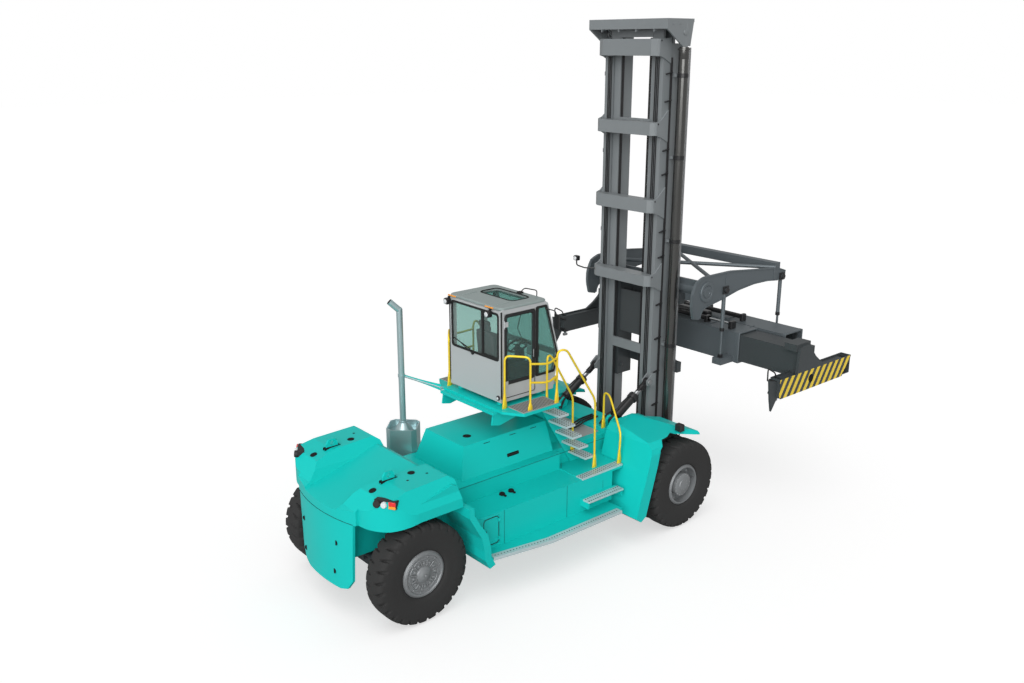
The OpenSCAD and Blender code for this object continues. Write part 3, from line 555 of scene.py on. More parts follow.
@dataclass(frozen=True)
class TwoTone(Finish):
    """A bare rod whose end above a given height is painted."""

    above: float = 2.47
    paint: Colour = (0.012, 0.012, 0.013)

    def extra(self, tree: bpy.types.NodeTree, place: bpy.types.NodeSocket, shader: bpy.types.Node) -> None:
        """Colour and metal change where the object's z passes the limit."""
        axes = tree.nodes.new("ShaderNodeSeparateXYZ")
        tree.links.new(place, axes.inputs[0])
        high = tree.nodes.new("ShaderNodeMath")
        high.operation = "GREATER_THAN"
        high.inputs[1].default_value = self.above
        tree.links.new(axes.outputs[2], high.inputs[0])
        tree.links.new(self.mixed(tree, high.outputs[0], self.colour, self.paint),
                shader.inputs["Base Color"])
        metal = tree.nodes.new("ShaderNodeMapRange")
        metal.inputs["To Min"].default_value = self.metallic
        metal.inputs["To Max"].default_value = 0.0
        tree.links.new(high.outputs[0], metal.inputs["Value"])
        tree.links.new(metal.outputs["Result"], shader.inputs["Metallic"])


TEAL = Finish("teal_paint", "body_paint", (0.006, 0.50, 0.46), 0.36, drift=0.04, grain=0.02, specular=0.14)
CHARCOAL = Finish("charcoal_paint", "mast_paint", (0.185, 0.202, 0.210), 0.38, drift=0.12, grain=0.03,
        coat=0.2)
SPREADER_GREY = Finish("spreader_paint", "spreader_paint", (0.062, 0.074, 0.078), 0.42, drift=0.12,
        grain=0.03, coat=0.15)
BARREL = Finish("cylinder_steel", "cylinder_paint", (0.10, 0.10, 0.096), 0.20, 0.85, drift=0.10, grain=0.02,
        coat=0.6)
ROD = TwoTone("rod_and_clevis", "rod_chrome", (0.52, 0.54, 0.55), 0.16, 1.0, drift=0.04, grain=0.01)
CARRIAGE = Finish("carriage_paint", "mast_paint", (0.040, 0.046, 0.049), 0.42, drift=0.12, grain=0.03,
        coat=0.2)
STRIPES = StripedPaint("striped_paint", "spreader_paint", (0.045, 0.052, 0.055), 0.45, drift=0.08)
BLACK = Finish("black_paint", "cylinder_paint", (0.013, 0.013, 0.014), 0.32, drift=0.15, coat=0.3)
AXLE = Finish("axle_paint", "axle_paint", (0.030, 0.033, 0.035), 0.5, drift=0.2, grain=0.06)
RIM = Finish("rim_paint", "rim_paint", (0.070, 0.092, 0.101), 0.42, drift=0.10, grain=0.04, coat=0.2)
RUBBER = Finish("tyre_rubber", "tyre_rubber", (0.013, 0.0125, 0.012), 0.62, drift=0.25, drift_size=3.0,
        grain=0.12, grain_size=90.0)
GASKET = Finish("rubber_seal", "cab_trim", (0.012, 0.012, 0.012), 0.65, grain=0.06)
TRIM = Finish("black_plastic", "cab_trim", (0.018, 0.018, 0.019), 0.5, grain=0.12, grain_size=320.0)
CAB_GREY = Finish("cab_paint", "cab_paint", (0.215, 0.245, 0.248), 0.4, drift=0.04, grain=0.02, coat=0.15)
CAB_DARK = Finish("cab_frame_paint", "cab_paint", (0.240, 0.290, 0.283), 0.42, drift=0.06, grain=0.02,
        coat=0.2)
GLASS = PanedGlass("tinted_glass", "cab_glass", (0.54, 0.70, 0.675), 0.05, drift=0.03, grain=0.0)
CLEAR = Finish("clear_lens", "cab_glass", (0.80, 0.82, 0.84), 0.08, drift=0.03, grain=0.0, alpha=0.75)
YELLOW = Finish("rail_paint", "rail_paint", (0.83, 0.62, 0.055), 0.4, drift=0.05, grain=0.02, coat=0.2)
# Steel of the exhaust stack and its clamps; its teal tint is a painted reflection of the teal body around it.
STEEL_PAINTED_TEAL_REFLECTION = Finish("stack_steel", "stack_metal", (0.50, 0.65, 0.67), 0.34, 0.8, drift=0.12, grain=0.05,
        stretch=(1.0, 1.0, 0.05))
TREAD = Finish("tread_plate", "stack_metal", (0.50, 0.60, 0.62), 0.42, 0.3, drift=0.10, grain=0.08)
DECK = Finish("deck_plate", "stack_metal", (0.36, 0.37, 0.365), 0.5, 0.2, drift=0.10, grain=0.08)
CHROME = Finish("rod_chrome", "rod_chrome", (0.72, 0.74, 0.75), 0.12, 1.0, drift=0.04, grain=0.01)
LOCK = Finish("lock_steel", "lock_steel", (0.10, 0.105, 0.11), 0.45, 0.6, drift=0.15, grain=0.05)
ENGINE = Finish("engine_casting", "engine_metal", (0.10, 0.105, 0.11), 0.55, 0.4, drift=0.15, grain=0.15)
HOSE = Finish("hose_rubber", "cab_trim", (0.012, 0.012, 0.013), 0.5, grain=0.15, grain_size=400.0)
AMBER = Finish("amber_lens", "cab_trim", (0.85, 0.32, 0.03), 0.2, coat=0.5)
RED = Finish("red_lens", "cab_trim", (0.70, 0.03, 0.03), 0.2, coat=0.5)
# Near-black: painted shade inside holes, slots, the hood's handle recess and the exhaust's mouth, and the real
# dark seams and filler caps.
SHADE_AND_DARK_PARTS = Finish("dark_hole", "cab_trim", (0.003, 0.003, 0.003), 0.9, grain=0.0)
SEAT = Finish("seat_cloth", "cab_trim", (0.035, 0.036, 0.040), 0.85, grain=0.35, grain_size=500.0)
TAG = Finish("yellow_tag", "rail_paint", (0.75, 0.70, 0.05), 0.5)

NODE_FINISH: dict[str, Finish] = {
    "chassis_frame": TEAL, "counterweight": TEAL, "side_boxes": TEAL, "access_steps": TEAL,
    "front_fenders": TEAL, "rear_mudguards": TEAL, "cab_platform": TEAL, "engine_hood": TEAL, "box_door": TEAL,
    "drive_axle": AXLE, "steer_axle": AXLE, "knuckle_left": AXLE, "knuckle_right": AXLE,
    "engine_block": ENGINE, "safety_rails": YELLOW, "exhaust_stack": STEEL_PAINTED_TEAL_REFLECTION,
    "cab_shell": CAB_GREY, "cab_door_left": CAB_GREY, "cab_door_right": CAB_GREY, "cab_glazing": GLASS,
    "cab_interior": TRIM, "steer_tyre_left": RUBBER, "steer_tyre_right": RUBBER, "drive_tyres_left": RUBBER,
    "drive_tyres_right": RUBBER, "steer_rim_left": RIM, "steer_rim_right": RIM, "drive_rims_left": RIM,
    "drive_rims_right": RIM, "mast_outer": CHARCOAL, "mast_inner": CHARCOAL, "lift_carriage": CARRIAGE,
    "hoist_barrels": BARREL, "tilt_barrel_left": BLACK, "tilt_barrel_right": BLACK, "tilt_rod_left": ROD,
    "tilt_rod_right": ROD, "spreader_arms": SPREADER_GREY, "spreader_frame": SPREADER_GREY,
    "end_beam_left": STRIPES, "end_beam_right": STRIPES, "twistlock_front_left": LOCK,
    "twistlock_front_right": LOCK, "twistlock_rear_left": LOCK, "twistlock_rear_right": LOCK}


def dress_nodes(frame: dict) -> None:
    """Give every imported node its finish.
    """
    for name, obj in frame["nodes"].items():
        material = NODE_FINISH[name].material()
        obj.data.materials.clear()
        obj.data.materials.append(material)


@dataclass
class Studio:
    """Pale floor, plain light and the camera at the photograph's angle."""

    eye: Point = (-12.345, -13.124, 9.074)
    yaw: float = 49.572
    pitch: float = 16.871
    lens: float = 34.40
    key: float = 0.75
    front: float = 2.9
    fill: float = 0.46
    floor_lift: float = 0.605

    def build(self) -> None:
        """Make the camera, lamps, world and floor."""
        scene = bpy.context.scene
        scene.view_settings.view_transform = "Standard"
        camera = bpy.data.cameras.new("camera")
        camera.lens = self.lens
        camera.sensor_width = 36.0
        camera.clip_end = 400.0
        obj = bpy.data.objects.new("camera", camera)
        obj.location = self.eye
        obj.rotation_euler = Euler((np.radians(90 - self.pitch), 0.0, np.radians(self.yaw - 90)))
        scene.collection.objects.link(obj)
        scene.camera = obj
        self.lamp("key_lamp", (-0.45, -0.35, 1.1), self.key, 50.0)
        front = self.lamp("front_lamp", (-0.95, -0.72, 0.36), self.front, 60.0)
        self.world(scene)
        self.keep_off(front, self.floor(scene))

    @staticmethod
    def lamp(name: str, direction: Point, strength: float, spread: float) -> bpy.types.Object:
        """Add a soft sun that shines from the given direction."""
        data = bpy.data.lights.new(name, "SUN")
        data.energy = strength
        data.angle = np.radians(spread)
        obj = bpy.data.objects.new(name, data)
        obj.rotation_euler = Vector(direction).to_track_quat("Z", "Y").to_euler()
        bpy.context.scene.collection.objects.link(obj)
        return obj

    @staticmethod
    def keep_off(lamp: bpy.types.Object, floor: bpy.types.Object) -> None:
        """Leave the floor out of what a lamp lights, so that it throws no shadow there."""
        group = bpy.data.collections.new("not_lit_by_front_lamp")
        group.objects.link(floor)
        lamp.light_linking.receiver_collection = group
        group.collection_objects[0].light_linking.link_state = "EXCLUDE"

    def world(self, scene: bpy.types.Scene) -> None:
        """White to the camera and through glass, and a plain grey fill otherwise."""
        world = bpy.data.worlds.new("studio")
        world.use_nodes = True
        tree = world.node_tree
        tree.nodes.clear()
        out = tree.nodes.new("ShaderNodeOutputWorld")
        back = tree.nodes.new("ShaderNodeBackground")
        back.inputs["Color"].default_value = (1.0, 1.0, 1.0, 1.0)
        tree.links.new(self.seen(tree, self.fill, 1.0), back.inputs["Strength"])
        tree.links.new(back.outputs[0], out.inputs["Surface"])
        scene.world = world

    @staticmethod
    def seen(tree: bpy.types.NodeTree, hidden: float, shown: float) -> bpy.types.NodeSocket:
        """A value that is shown for camera rays and through glass, and hidden otherwise."""
        path = tree.nodes.new("ShaderNodeLightPath")
        add = tree.nodes.new("ShaderNodeMath")
        add.operation = "ADD"
        add.use_clamp = True
        tree.links.new(path.outputs["Is Camera Ray"], add.inputs[0])
        tree.links.new(path.outputs["Is Transmission Ray"], add.inputs[1])
        total = add.outputs[0]
        scale = tree.nodes.new("ShaderNodeMapRange")
        scale.inputs["To Min"].default_value = hidden
        scale.inputs["To Max"].default_value = shown
        tree.links.new(total, scale.inputs["Value"])
        return scale.outputs["Result"]

    def floor(self, scene: bpy.types.Scene) -> bpy.types.Object:
        """A large white floor: diffuse, lifted a little for the camera so that it ends in white."""
        reach = 150.0
        mesh = bpy.data.meshes.new("floor")
        mesh.from_pydata([(-reach, -reach, 0), (reach, -reach, 0), (reach, reach, 0), (-reach, reach, 0)], [],
                         [(0, 1, 2, 3)])
        mat = bpy.data.materials.new("floor")
        mat.use_nodes = True
        tree = mat.node_tree
        tree.nodes.clear()
        out = tree.nodes.new("ShaderNodeOutputMaterial")
        matt = tree.nodes.new("ShaderNodeBsdfDiffuse")
        matt.inputs["Color"].default_value = (0.62, 0.62, 0.62, 1.0)
        glow = tree.nodes.new("ShaderNodeEmission")
        both = tree.nodes.new("ShaderNodeAddShader")
        tree.links.new(self.seen(tree, 0.0, self.floor_lift), glow.inputs["Strength"])
        tree.links.new(matt.outputs[0], both.inputs[0])
        tree.links.new(glow.outputs[0], both.inputs[1])
        tree.links.new(both.outputs[0], out.inputs["Surface"])
        mesh.materials.append(mat)
        obj = bpy.data.objects.new("floor", mesh)
        scene.collection.objects.link(obj)
        return obj


@dataclass
class Tyre:
    """A heavy tyre with deep shoulder lugs."""

    radius: float = 0.880
    lugs: int = 28
    per_lug: int = 16
    depth: float = 0.040
    bead: float = 0.406

    def profile(self, width: float, count: int) -> tuple[Array, Array]:
        """Half profile from bead to bead as radius and place across, by even steps of its length.

        Args:
            width: the section's width.
            count: number of points.

        Returns:
            Radii and places across.
        """
        half = width / 2
        side = np.array([(self.bead, half - 0.062), (self.bead + 0.020, half - 0.034), (0.460, half - 0.020),
                         (0.505, half - 0.012), (0.520, half - 0.007), (0.535, half - 0.010), (0.640, half),
                         (0.700, half - 0.001), (0.760, half - 0.004), (0.815, half - 0.012),
                         (0.850, half - 0.028), (0.868, half - 0.052), (0.876, half - 0.095),
                         (self.radius, half * 0.42), (self.radius, 0.02)])
        whole = np.vstack([side * [1, -1], side[::-1]])
        length = np.concatenate([[0], np.cumsum(np.linalg.norm(np.diff(whole, axis=0), axis=1))])
        at = np.linspace(0, length[-1], count)
        return np.interp(at, length, whole[:, 0]), np.interp(at, length, whole[:, 1])

    def surface(self, width: float, sign: int) -> Array:
        """The carcass as p(u, v): v runs from bead to bead and u round the axle.

        The tread's grooves lower the radius where the distance from a slanted groove
        line, measured in lug pitches, is under the groove's half width.  A groove widens
        from near the middle to the shoulder and fades down the sidewall; those of the two
        halves are half a pitch apart.

        Args:
            width: the section's width.
            sign: 1 or -1, the side on which the grooves lead.

        Returns:
            Array (rows, columns, 3) about the origin with the axle along y.
        """
        radius, across = self.profile(width, 58)
        rows = self.lugs * self.per_lug
        turn = np.linspace(0, 2 * np.pi, rows, endpoint=False)[:, None]
        share = np.abs(across) / (width / 2)
        lean = 0.34 * share ** 1.6 * np.where(share > 0.05, 1.0, 0.0)
        phase = turn * self.lugs / (2 * np.pi) + np.where(across > 0, 0.0, 0.5) - sign * lean
        gap = np.abs((phase + 0.5) % 1.0 - 0.5)
        half_width = 0.035 + 0.115 * np.clip((share - 0.15) / 0.85, 0, 1) ** 1.2
        wall = np.clip((half_width - gap) / 0.045 + 0.5, 0, 1)
        reach = np.clip((share - 0.16) / 0.10, 0, 1) * np.clip((radius - 0.775) / 0.05, 0, 1)
        cut = self.depth * wall * wall * (3 - 2 * wall) * reach
        centre_rib = 0.006 * np.clip(1 - np.abs(share - 0.10) / 0.03, 0, 1)
        lower = np.clip((radius - 0.80) / 0.06, 0, 1)
        r = radius - cut * (0.35 + 0.65 * lower) - centre_rib
        y = across - np.sign(across) * cut * (1 - lower) * 0.75
        return np.stack([r * np.cos(turn), y + 0 * turn, r * np.sin(turn)], -1)

    def add_to(self, shape: Shape, centre: Point, width: float, sign: int) -> None:
        """Add one tyre round its centre, with the bead's inner wall closing it."""
        p = self.surface(width, sign) + np.asarray(centre)
        inner = p[:, [-1, 0]].copy()
        inner[:, :, [0, 2]] = (inner[:, :, [0, 2]] - np.asarray(centre)[[0,
                2]]) * 0.999 + np.asarray(centre)[[0, 2]]
        shape.grid(p, loop_rows=True)
        shape.grid(inner, loop_rows=True)


@dataclass
class Wheels:
    """The six tyres, and the nuts, ribs and valves of the rims."""

    axle_z: float = 0.880
    steer_x: float = -5.806
    steer_out: float = 1.560
    steer_width: float = 0.470
    drive_out: float = 2.070
    drive_width: float = 0.445
    gap: float = 0.030
    ribs: int = 12

    def build(self) -> None:
        """Make the wheels of both sides."""
        tyre = Tyre()
        for side in Side:
            s = side.value
            steer, drive = Shape(), Shape()
            tyre.add_to(steer, (self.steer_x, s * (self.steer_out - self.steer_width / 2), self.axle_z),
                        self.steer_width, s)
            for i in range(2):
                y = self.drive_out - self.drive_width / 2 - i * (self.drive_width + self.gap)
                tyre.add_to(drive, (0.0, s * y, self.axle_z), self.drive_width, s)
            steer.to_object(f"steer_tread_{side.word}", f"steer_wheel_{side.word}", RUBBER, 0.9,
                            [f"steer_tyre_{side.word}"])
            drive.to_object(f"drive_tread_{side.word}", f"drive_wheel_{side.word}", RUBBER, 0.9,
                            [f"drive_tyres_{side.word}"])
            self.steer_disc(side)
            self.drive_hub(side)

    def ring_places(self, centre: Point, radius: float, count: int, turn: float = 0.0) -> list[Point]:
        """Places evenly round a circle in a plane across the axle."""
        a = np.linspace(0, 2 * np.pi, count, endpoint=False) + turn
        return [(centre[0] + radius * np.cos(t), centre[1], centre[2] + radius * np.sin(t)) for t in a]

    def steer_disc(self, side: Side) -> None:
        """The flush disc of a steer rim: raised rings, twelve ribs with nuts and a domed cap."""
        s = side.value
        out = (0.0, float(s), 0.0)
        face = (self.steer_x, s * (self.steer_out - 0.050), self.axle_z)
        disc = Shape()
        disc.lathe([(0.366, -0.02), (0.366, 0.018), (0.360, 0.026), (0.344, 0.026), (0.338, 0.018), (0.330,
                0.003),
                    (0.292, 0.002), (0.284, 0.012), (0.272, 0.012), (0.264, 0.002), (0.150, 0.002), (0.140,
                            0.014),
                    (0.118, 0.028), (0.086, 0.038), (0.080, 0.044), (0.030, 0.050), (0.001,
                            0.050)], face, out, 64)
        disc.to_object(f"steer_disc_{side.word}", f"steer_wheel_{side.word}", RIM, 0.7)
        fine = Shape()
        step = 2 * np.pi / self.ribs
        for i in range(self.ribs):
            a = (i + 0.5) * step
            rib = Shape().block((0.165, 0.262), (-0.004, 0.026), (-0.009, 0.009), 0.004)
            rib.block((0.290, 0.326), (-0.004, 0.014), (-0.016, 0.016), 0.004)
            c, n = np.cos(a), np.sin(a)
            fine.merge(rib, np.array([[c, 0, -n, face[0]], [0, s, 0, face[1] + s * 0.004], [n, 0, c,
                    face[2]]]))
        for place in self.ring_places((face[0], face[1] + s * 0.004, face[2]), 0.210, self.ribs):
            fine.bolt(place, out, 0.025)
        fine.bolt((face[0], face[1] + s * 0.051, face[2]), out, 0.022)
        fine.to_object(f"steer_nuts_{side.word}", f"steer_wheel_{side.word}", RIM, 0.5)

    def drive_hub(self, side: Side) -> None:
        """The deep drive rim: stepped hub, two circles of bolts, clamps at the rim's edge and valves."""
        s = side.value
        out = (0.0, float(s), 0.0)
        mid = self.drive_out - self.drive_width / 2
        hub = Shape()
        hub.lathe([(0.228, -0.03), (0.228, 0.150), (0.222, 0.159), (0.200, 0.165), (0.190, 0.172), (0.150,
                0.182),
                   (0.120, 0.184), (0.112, 0.194), (0.040, 0.198), (0.001, 0.198)],
                  (0.0, s * mid, self.axle_z), out, 56)
        hub.lathe([(0.300, 0.0), (0.300, 0.014), (0.250, 0.020), (0.227, 0.020)], (0.0, s * mid,
                self.axle_z), out, 56)
        hub.to_object(f"drive_hub_{side.word}", f"drive_wheel_{side.word}", RIM, 0.6)
        fine = Shape()
        for place in self.ring_places((0.0, s * (mid + 0.160), self.axle_z), 0.209, 16):
            fine.bolt(place, out, 0.011)
        for place in self.ring_places((0.0, s * (mid + 0.186), self.axle_z), 0.092, 8):
            fine.bolt(place, out, 0.010)
        for place in self.ring_places((0.0, s * (mid + 0.009), self.axle_z), 0.325, 14, 0.1):
            fine.bolt(place, out, 0.019)
        fine.tube([(0.315, s * (mid + 0.01), self.axle_z + 0.04), (0.330, s * (mid + 0.08),
                self.axle_z + 0.045),
                   (0.335, s * (mid + 0.15), self.axle_z + 0.05)], 0.007, 8)
        fine.to_object(f"drive_nuts_{side.word}", f"drive_wheel_{side.word}", LOCK, 0.5)
@dataclass
class CabSkin:
    """The cab's dark roof, seals, door frames, lamps, wiper and mirror."""

    rear: float = -3.520
    front: float = -2.480
    half: float = 0.730
    roof: float = 4.740
    window: tuple[float, float] = (3.820, 4.640)

    def build(self) -> None:
        """Make the pieces on the cab's shell and both doors."""
        self.roof_panel()
        self.rear_window()
        self.front_windows()
        self.lamps()
        for side in Side:
            self.door(side)

    def roof_panel(self) -> None:
        """A dark lid with rounded corners, a seal round the roof window and two raised ribs."""
        lid, seal = Shape(), Shape()
        outer = rounded((self.rear - 0.012, self.front + 0.03), (-self.half - 0.008, self.half + 0.008),
                0.12, 6)
        hole = rounded((-3.05, -2.61), (-0.47, 0.47), 0.12, 6)
        lid.frame(outer, hole, Plane.XY, self.roof - 0.020, self.roof + 0.028, 0.012)
        lid.block((-3.42, -3.10), (-0.50, -0.46), (self.roof + 0.024, self.roof + 0.036), 0.005)
        lid.block((-3.42, -3.10), (0.46, 0.50), (self.roof + 0.024, self.roof + 0.036), 0.005)
        lid.to_object("roof_lid", "chassis", CAB_DARK, 0.7)
        ring = np.column_stack([hole, np.full(len(hole), self.roof + 0.030)])
        seal.tube(ring, 0.010, 8, closed=True)
        path = [(-2.56, -0.10, 4.76), (-2.46, -0.12, 4.85), (-2.40, -0.40, 4.85), (-2.46, -0.46, 4.77)]
        seal.tube(round_corners(path, 0.05), 0.010, 8)
        seal.block((-2.60, -2.50), (-0.16, -0.06), (4.765, 4.80), 0.01)
        seal.to_object("roof_seal", "chassis", GASKET)

    def rear_window(self) -> None:
        """Black seal, sliding pane's post and the wiper on the rear wall."""
        seal = Shape()
        outer = rounded((-0.675, 0.675), (self.window[0] - 0.025, self.window[1] + 0.025), 0.07)
        inner = rounded((-0.635, 0.635), (self.window[0] + 0.015, self.window[1] - 0.015), 0.05)
        seal.frame(outer, inner, Plane.YZ, self.rear - 0.010, self.rear + 0.012)
        seal.block((self.rear - 0.008, self.rear + 0.02), (-0.25, -0.20), self.window, 0.004)
        seal.block((self.rear - 0.012, self.rear + 0.015), (-0.62, -0.22), (self.window[0] + 0.01,
                self.window[0] + 0.04), 0.004)
        arm = [(self.rear - 0.02, 0.05, 3.79), (self.rear - 0.05, 0.10, 3.83), (self.rear - 0.04, 0.42, 3.95)]
        seal.tube(arm, 0.008, 8)
        seal.tube([(self.rear - 0.028, 0.62, 3.98), (self.rear - 0.028, 0.10, 3.86)], 0.009, 6)
        seal.lathe(round_head(0.028, 0.025, 0.018, 0.035), (self.rear, 0.05, 3.79), (-1, 0, 0), 16)
        for y in (-self.half - 0.002, self.half + 0.002):
            seal.block((self.rear - 0.006, self.rear + 0.02), (y - 0.012, y + 0.012), (3.12, 4.70), 0.005)
        seal.to_object("rear_window_seal", "chassis", GASKET)

    def front_windows(self) -> None:
        """Seals round the quarter windows and the windscreen, and the screen's wiper."""
        seal = Shape()
        outer = soft_outline([(-2.725, 4.670), (-2.455, 4.670), (-2.185, 3.735), (-2.190, 3.690), (-2.255,
                3.368), (-2.725, 3.368)], 0.04)
        inner = soft_outline([(-2.655, 4.625), (-2.490, 4.625), (-2.228, 3.735), (-2.228, 3.705), (-2.292,
                3.412), (-2.655, 3.412)], 0.03)
        for y in (self.half, -self.half - 0.006):
            seal.frame(outer, inner, Plane.XZ, y, y + 0.006, 0.002)
        slope = np.array([(-2.452, 0.0, 4.640), (-2.176, 0.0, 3.740)])
        ends = np.vstack([slope + [0.006, s, 0.0] for s in (-0.68, 0.68)])
        seal.tube(ends[[0, 1, 3, 2]], 0.016, 6, closed=True)
        low = np.array([(-2.178, -0.65, 3.66), (-2.285, -0.65, 3.14), (-2.285, 0.65, 3.14), (-2.178, 0.65,
                3.66)])
        seal.tube(low, 0.014, 6, closed=True)
        seal.tube([(-2.15, 0.30, 3.74), (-2.22, 0.34, 3.95), (-2.36, 0.05, 4.42)], 0.009, 6)
        seal.to_object("front_window_seals", "chassis", GASKET)

    def lamps(self) -> None:
        """Work lamps under the rear roof corners, amber marker strips, the low cap and the mirrors."""
        body, lens, amber = Shape(), Shape(), Shape()
        for y in (0.72, -0.46):
            x = self.rear - 0.06
            body.block((x - 0.05, x + 0.055), (y - 0.055, y + 0.055), (4.575, 4.685), 0.014)
            body.block((x + 0.02, x + 0.065), (y - 0.015, y + 0.015), (4.67, 4.72), 0.004)
            lens.lathe([(0.044, 0.0), (0.040, 0.010), (0.020, 0.016), (0.001, 0.017)], (x - 0.049, y, 4.63),
                    (-1, 0, 0), 20)
            lamp = y + (-0.09 if y > 0 else 0.03)
            amber.block((self.rear - 0.030, self.rear - 0.010), (lamp - 0.11, lamp + 0.11), (4.728, 4.752),
                    0.004)
        for y in (self.half + 0.05, -self.half - 0.05):
            arm = [(-2.50, y * 0.93, 4.60), (-2.38, y * 1.10, 4.56), (-2.36, y * 1.12, 4.50)]
            body.tube(round_corners(arm, 0.05), 0.010, 8)
            body.block((-2.375, -2.345), (min(y * 1.06, y * 1.24), max(y * 1.06, y * 1.24)), (4.22, 4.50),
                    0.012)
        body.lathe(round_head(0.045, 0.02, 0.034, 0.03), (self.rear, -0.66, 3.13), (-1, 0, 0), 20)
        body.to_object("cab_lamps", "chassis", TRIM)
        lens.lathe([(0.026, 0.0), (0.020, 0.006), (0.001, 0.006)], (self.rear - 0.030, -0.66, 3.13), (-1, 0,
                0), 16)
        lens.to_object("cab_lamp_lenses", "chassis", CLEAR)
        amber.to_object("marker_strips", "chassis", AMBER)

    def door(self, side: Side) -> None:
        """Dark frame, seals, glass, handle and the light lower panel's edge of one door."""
        s = side.value
        face = s * (self.half - 0.002)

        def band(depth: float) -> tuple[float, float]:
            """From the door's face outwards by depth, lower value first."""
            return tuple(sorted((face, face + s * depth)))

        frame, seal, glass = Shape(), Shape(), Shape()
        outer = rounded((-3.436, -2.734), (3.36, 4.636), 0.06)
        inner = rounded((-3.397, -2.788), (3.418, 4.592), 0.05)
        frame.frame(outer, inner, Plane.XZ, *band(0.012), 0.004)
        frame.to_object(f"door_frame_{side.word}", f"cab_door_{side.word}", TRIM)
        ring = rounded((-3.393, -2.792), (3.422, 4.588), 0.04)
        seal.tube(np.insert(ring, 1, face, axis=1), 0.008, 6, closed=True)
        pane = rounded((-3.391, -2.794), (3.424, 4.586), 0.04)
        glass.plate(pane, Plane.XZ, *sorted((face - s * 0.016, face - s * 0.010)), 0.001)
        lining = Shape().block((-3.42, -2.75), span(s, 0.676, 0.687), (3.14, 3.415), 0.003)
        lining.to_object(f"door_lining_{side.word}", f"cab_door_{side.word}", TRIM)
        edge = rounded((-3.436, -2.734), (3.122, 4.637), 0.05)
        seal.tube(np.insert(edge, 1, face, axis=1), 0.006, 6, closed=True)
        seal.block((-2.777, -2.757), tuple(sorted((face + s * 0.012, face + s * 0.045))), (3.74, 3.92), 0.006)
        seal.to_object(f"door_seal_{side.word}", f"cab_door_{side.word}", GASKET)
        glass.to_object(f"door_glass_{side.word}", f"cab_door_{side.word}", GLASS)


@dataclass
class CabInside:
    """Seat, console, wheel and levers seen through the cab's windows."""

    seat_x: float = -2.960
    top: float = 3.420

    def build(self) -> None:
        """Make the hard pieces, then the padded ones."""
        hard = Shape()
        hard.block((-3.16, -2.74), (-0.21, 0.21), (3.10, 3.16), 0.02)
        hard.sweep(rounded((-0.17, 0.17), (-0.17, 0.17), 0.05), np.array([(self.seat_x, 0, 3.16),
                (self.seat_x, 0, 3.30)]))
        for y in (-0.32, 0.32):
            hard.block((-3.15, -2.78), (y - 0.045, y + 0.045), (3.62, 3.65), 0.014)
        lever = [(-2.84, -0.34, 3.64), (-2.83, -0.34, 3.74), (-2.80, -0.34, 3.80)]
        hard.tube(lever, 0.012, 8)
        hard.lathe([(0.012, -0.02), (0.030, 0.0), (0.032, 0.03), (0.022, 0.055), (0.002, 0.06)], lever[-1],
                (0.2, 0, 1), 14)
        hard.block((-3.04, -2.50), (-0.55, -0.43), (3.555, 3.60), 0.012)
        hard.block((-2.56, -2.50), (-0.60, -0.30), (3.66, 3.88), 0.014)
        hard.block((-2.44, -2.40), (-0.36, -0.16), (3.10, 3.14), 0.01)
        hard.block((-2.44, -2.40), (0.16, 0.36), (3.10, 3.14), 0.01)
        hard.block((-3.46, -2.36), (-0.675, 0.675), (3.0955, 3.104), 0.002)
        hard.block((-3.4745, -3.466), (-0.67, 0.67), (3.11, 3.80), 0.002)
        for s in (1, -1):
            hard.block((-2.715, -2.36), span(s, 0.676, 0.6845), (3.11, 3.39), 0.002)
        self.wheel(hard)
        hard.to_object("cab_controls", "chassis", TRIM)
        screen = Shape().block((-2.566, -2.560), (-0.585, -0.315), (3.68, 3.86), 0.002)
        screen.to_object("cab_screen", "chassis", CLEAR)
        self.cushion("seat_cushion", (self.seat_x, 0.0, self.top), (0.27, 0.26, 0.055), 0.0)
        self.cushion("seat_back", (-3.235, 0.0, 3.84), (0.050, 0.25, 0.34), -8.0)
        self.cushion("head_rest", (-3.285, 0.0, 4.27), (0.040, 0.14, 0.10), -8.0)

    @staticmethod
    def wheel(shape: Shape) -> None:
        """The steering wheel: a tilted ring, three spokes, its boss and the column."""
        centre, tilt = np.array([-2.520, 0.0, 3.745]), np.radians(25)
        along, side = np.array([np.cos(tilt), 0, np.sin(tilt)]), np.array([0.0, 1.0, 0.0])
        a = np.linspace(0, 2 * np.pi, 40, endpoint=False)[:, None]
        shape.tube(centre + 0.190 * (np.cos(a) * along + np.sin(a) * side), 0.017, 10, closed=True)
        for t in np.radians([90, 210, 330]):
            tip = centre + 0.188 * (np.cos(t) * along + np.sin(t) * side)
            shape.tube(np.array([centre, tip]), 0.010, 8)
        normal = np.cross(along, side)
        shape.lathe([(0.045, -0.02), (0.045, 0.015), (0.030, 0.024), (0.001, 0.026)], tuple(centre),
                tuple(normal), 20)

    @staticmethod
    def cushion(name: str, centre: Point, half: Point, lean: float) -> None:
        """A crowned pad: a superellipsoid swelled by cloth pressure, with its movement capped.

        A point of the start form is sign(c)|c|^0.35 on each axis of a sphere's point c,
        scaled by the half sizes.

        Args:
            name: the piece's name.
            centre: the pad's middle.
            half: half sizes along x, y and z.
            lean: tilt about y in degrees.
        """
        u = np.linspace(-np.pi / 2, np.pi / 2, 25)[1:-1, None]
        v = np.linspace(0, 2 * np.pi, 48, endpoint=False)[None]
        ball = np.stack([np.cos(u) * np.cos(v), np.cos(u) * np.sin(v), np.sin(u) + 0 * v], -1)
        box = np.sign(ball) * np.abs(ball) ** 0.35 * np.asarray(half)
        t = np.radians(lean)
        turn = np.array([[np.cos(t), 0, np.sin(t)], [0, 1, 0], [-np.sin(t), 0, np.cos(t)]])
        pad = Shape().grid(box @ turn.T + np.asarray(centre), loop_columns=True, caps=True)
        obj = pad.to_object(name, "chassis", SEAT, 3.0)
        swell(obj, 0.010)


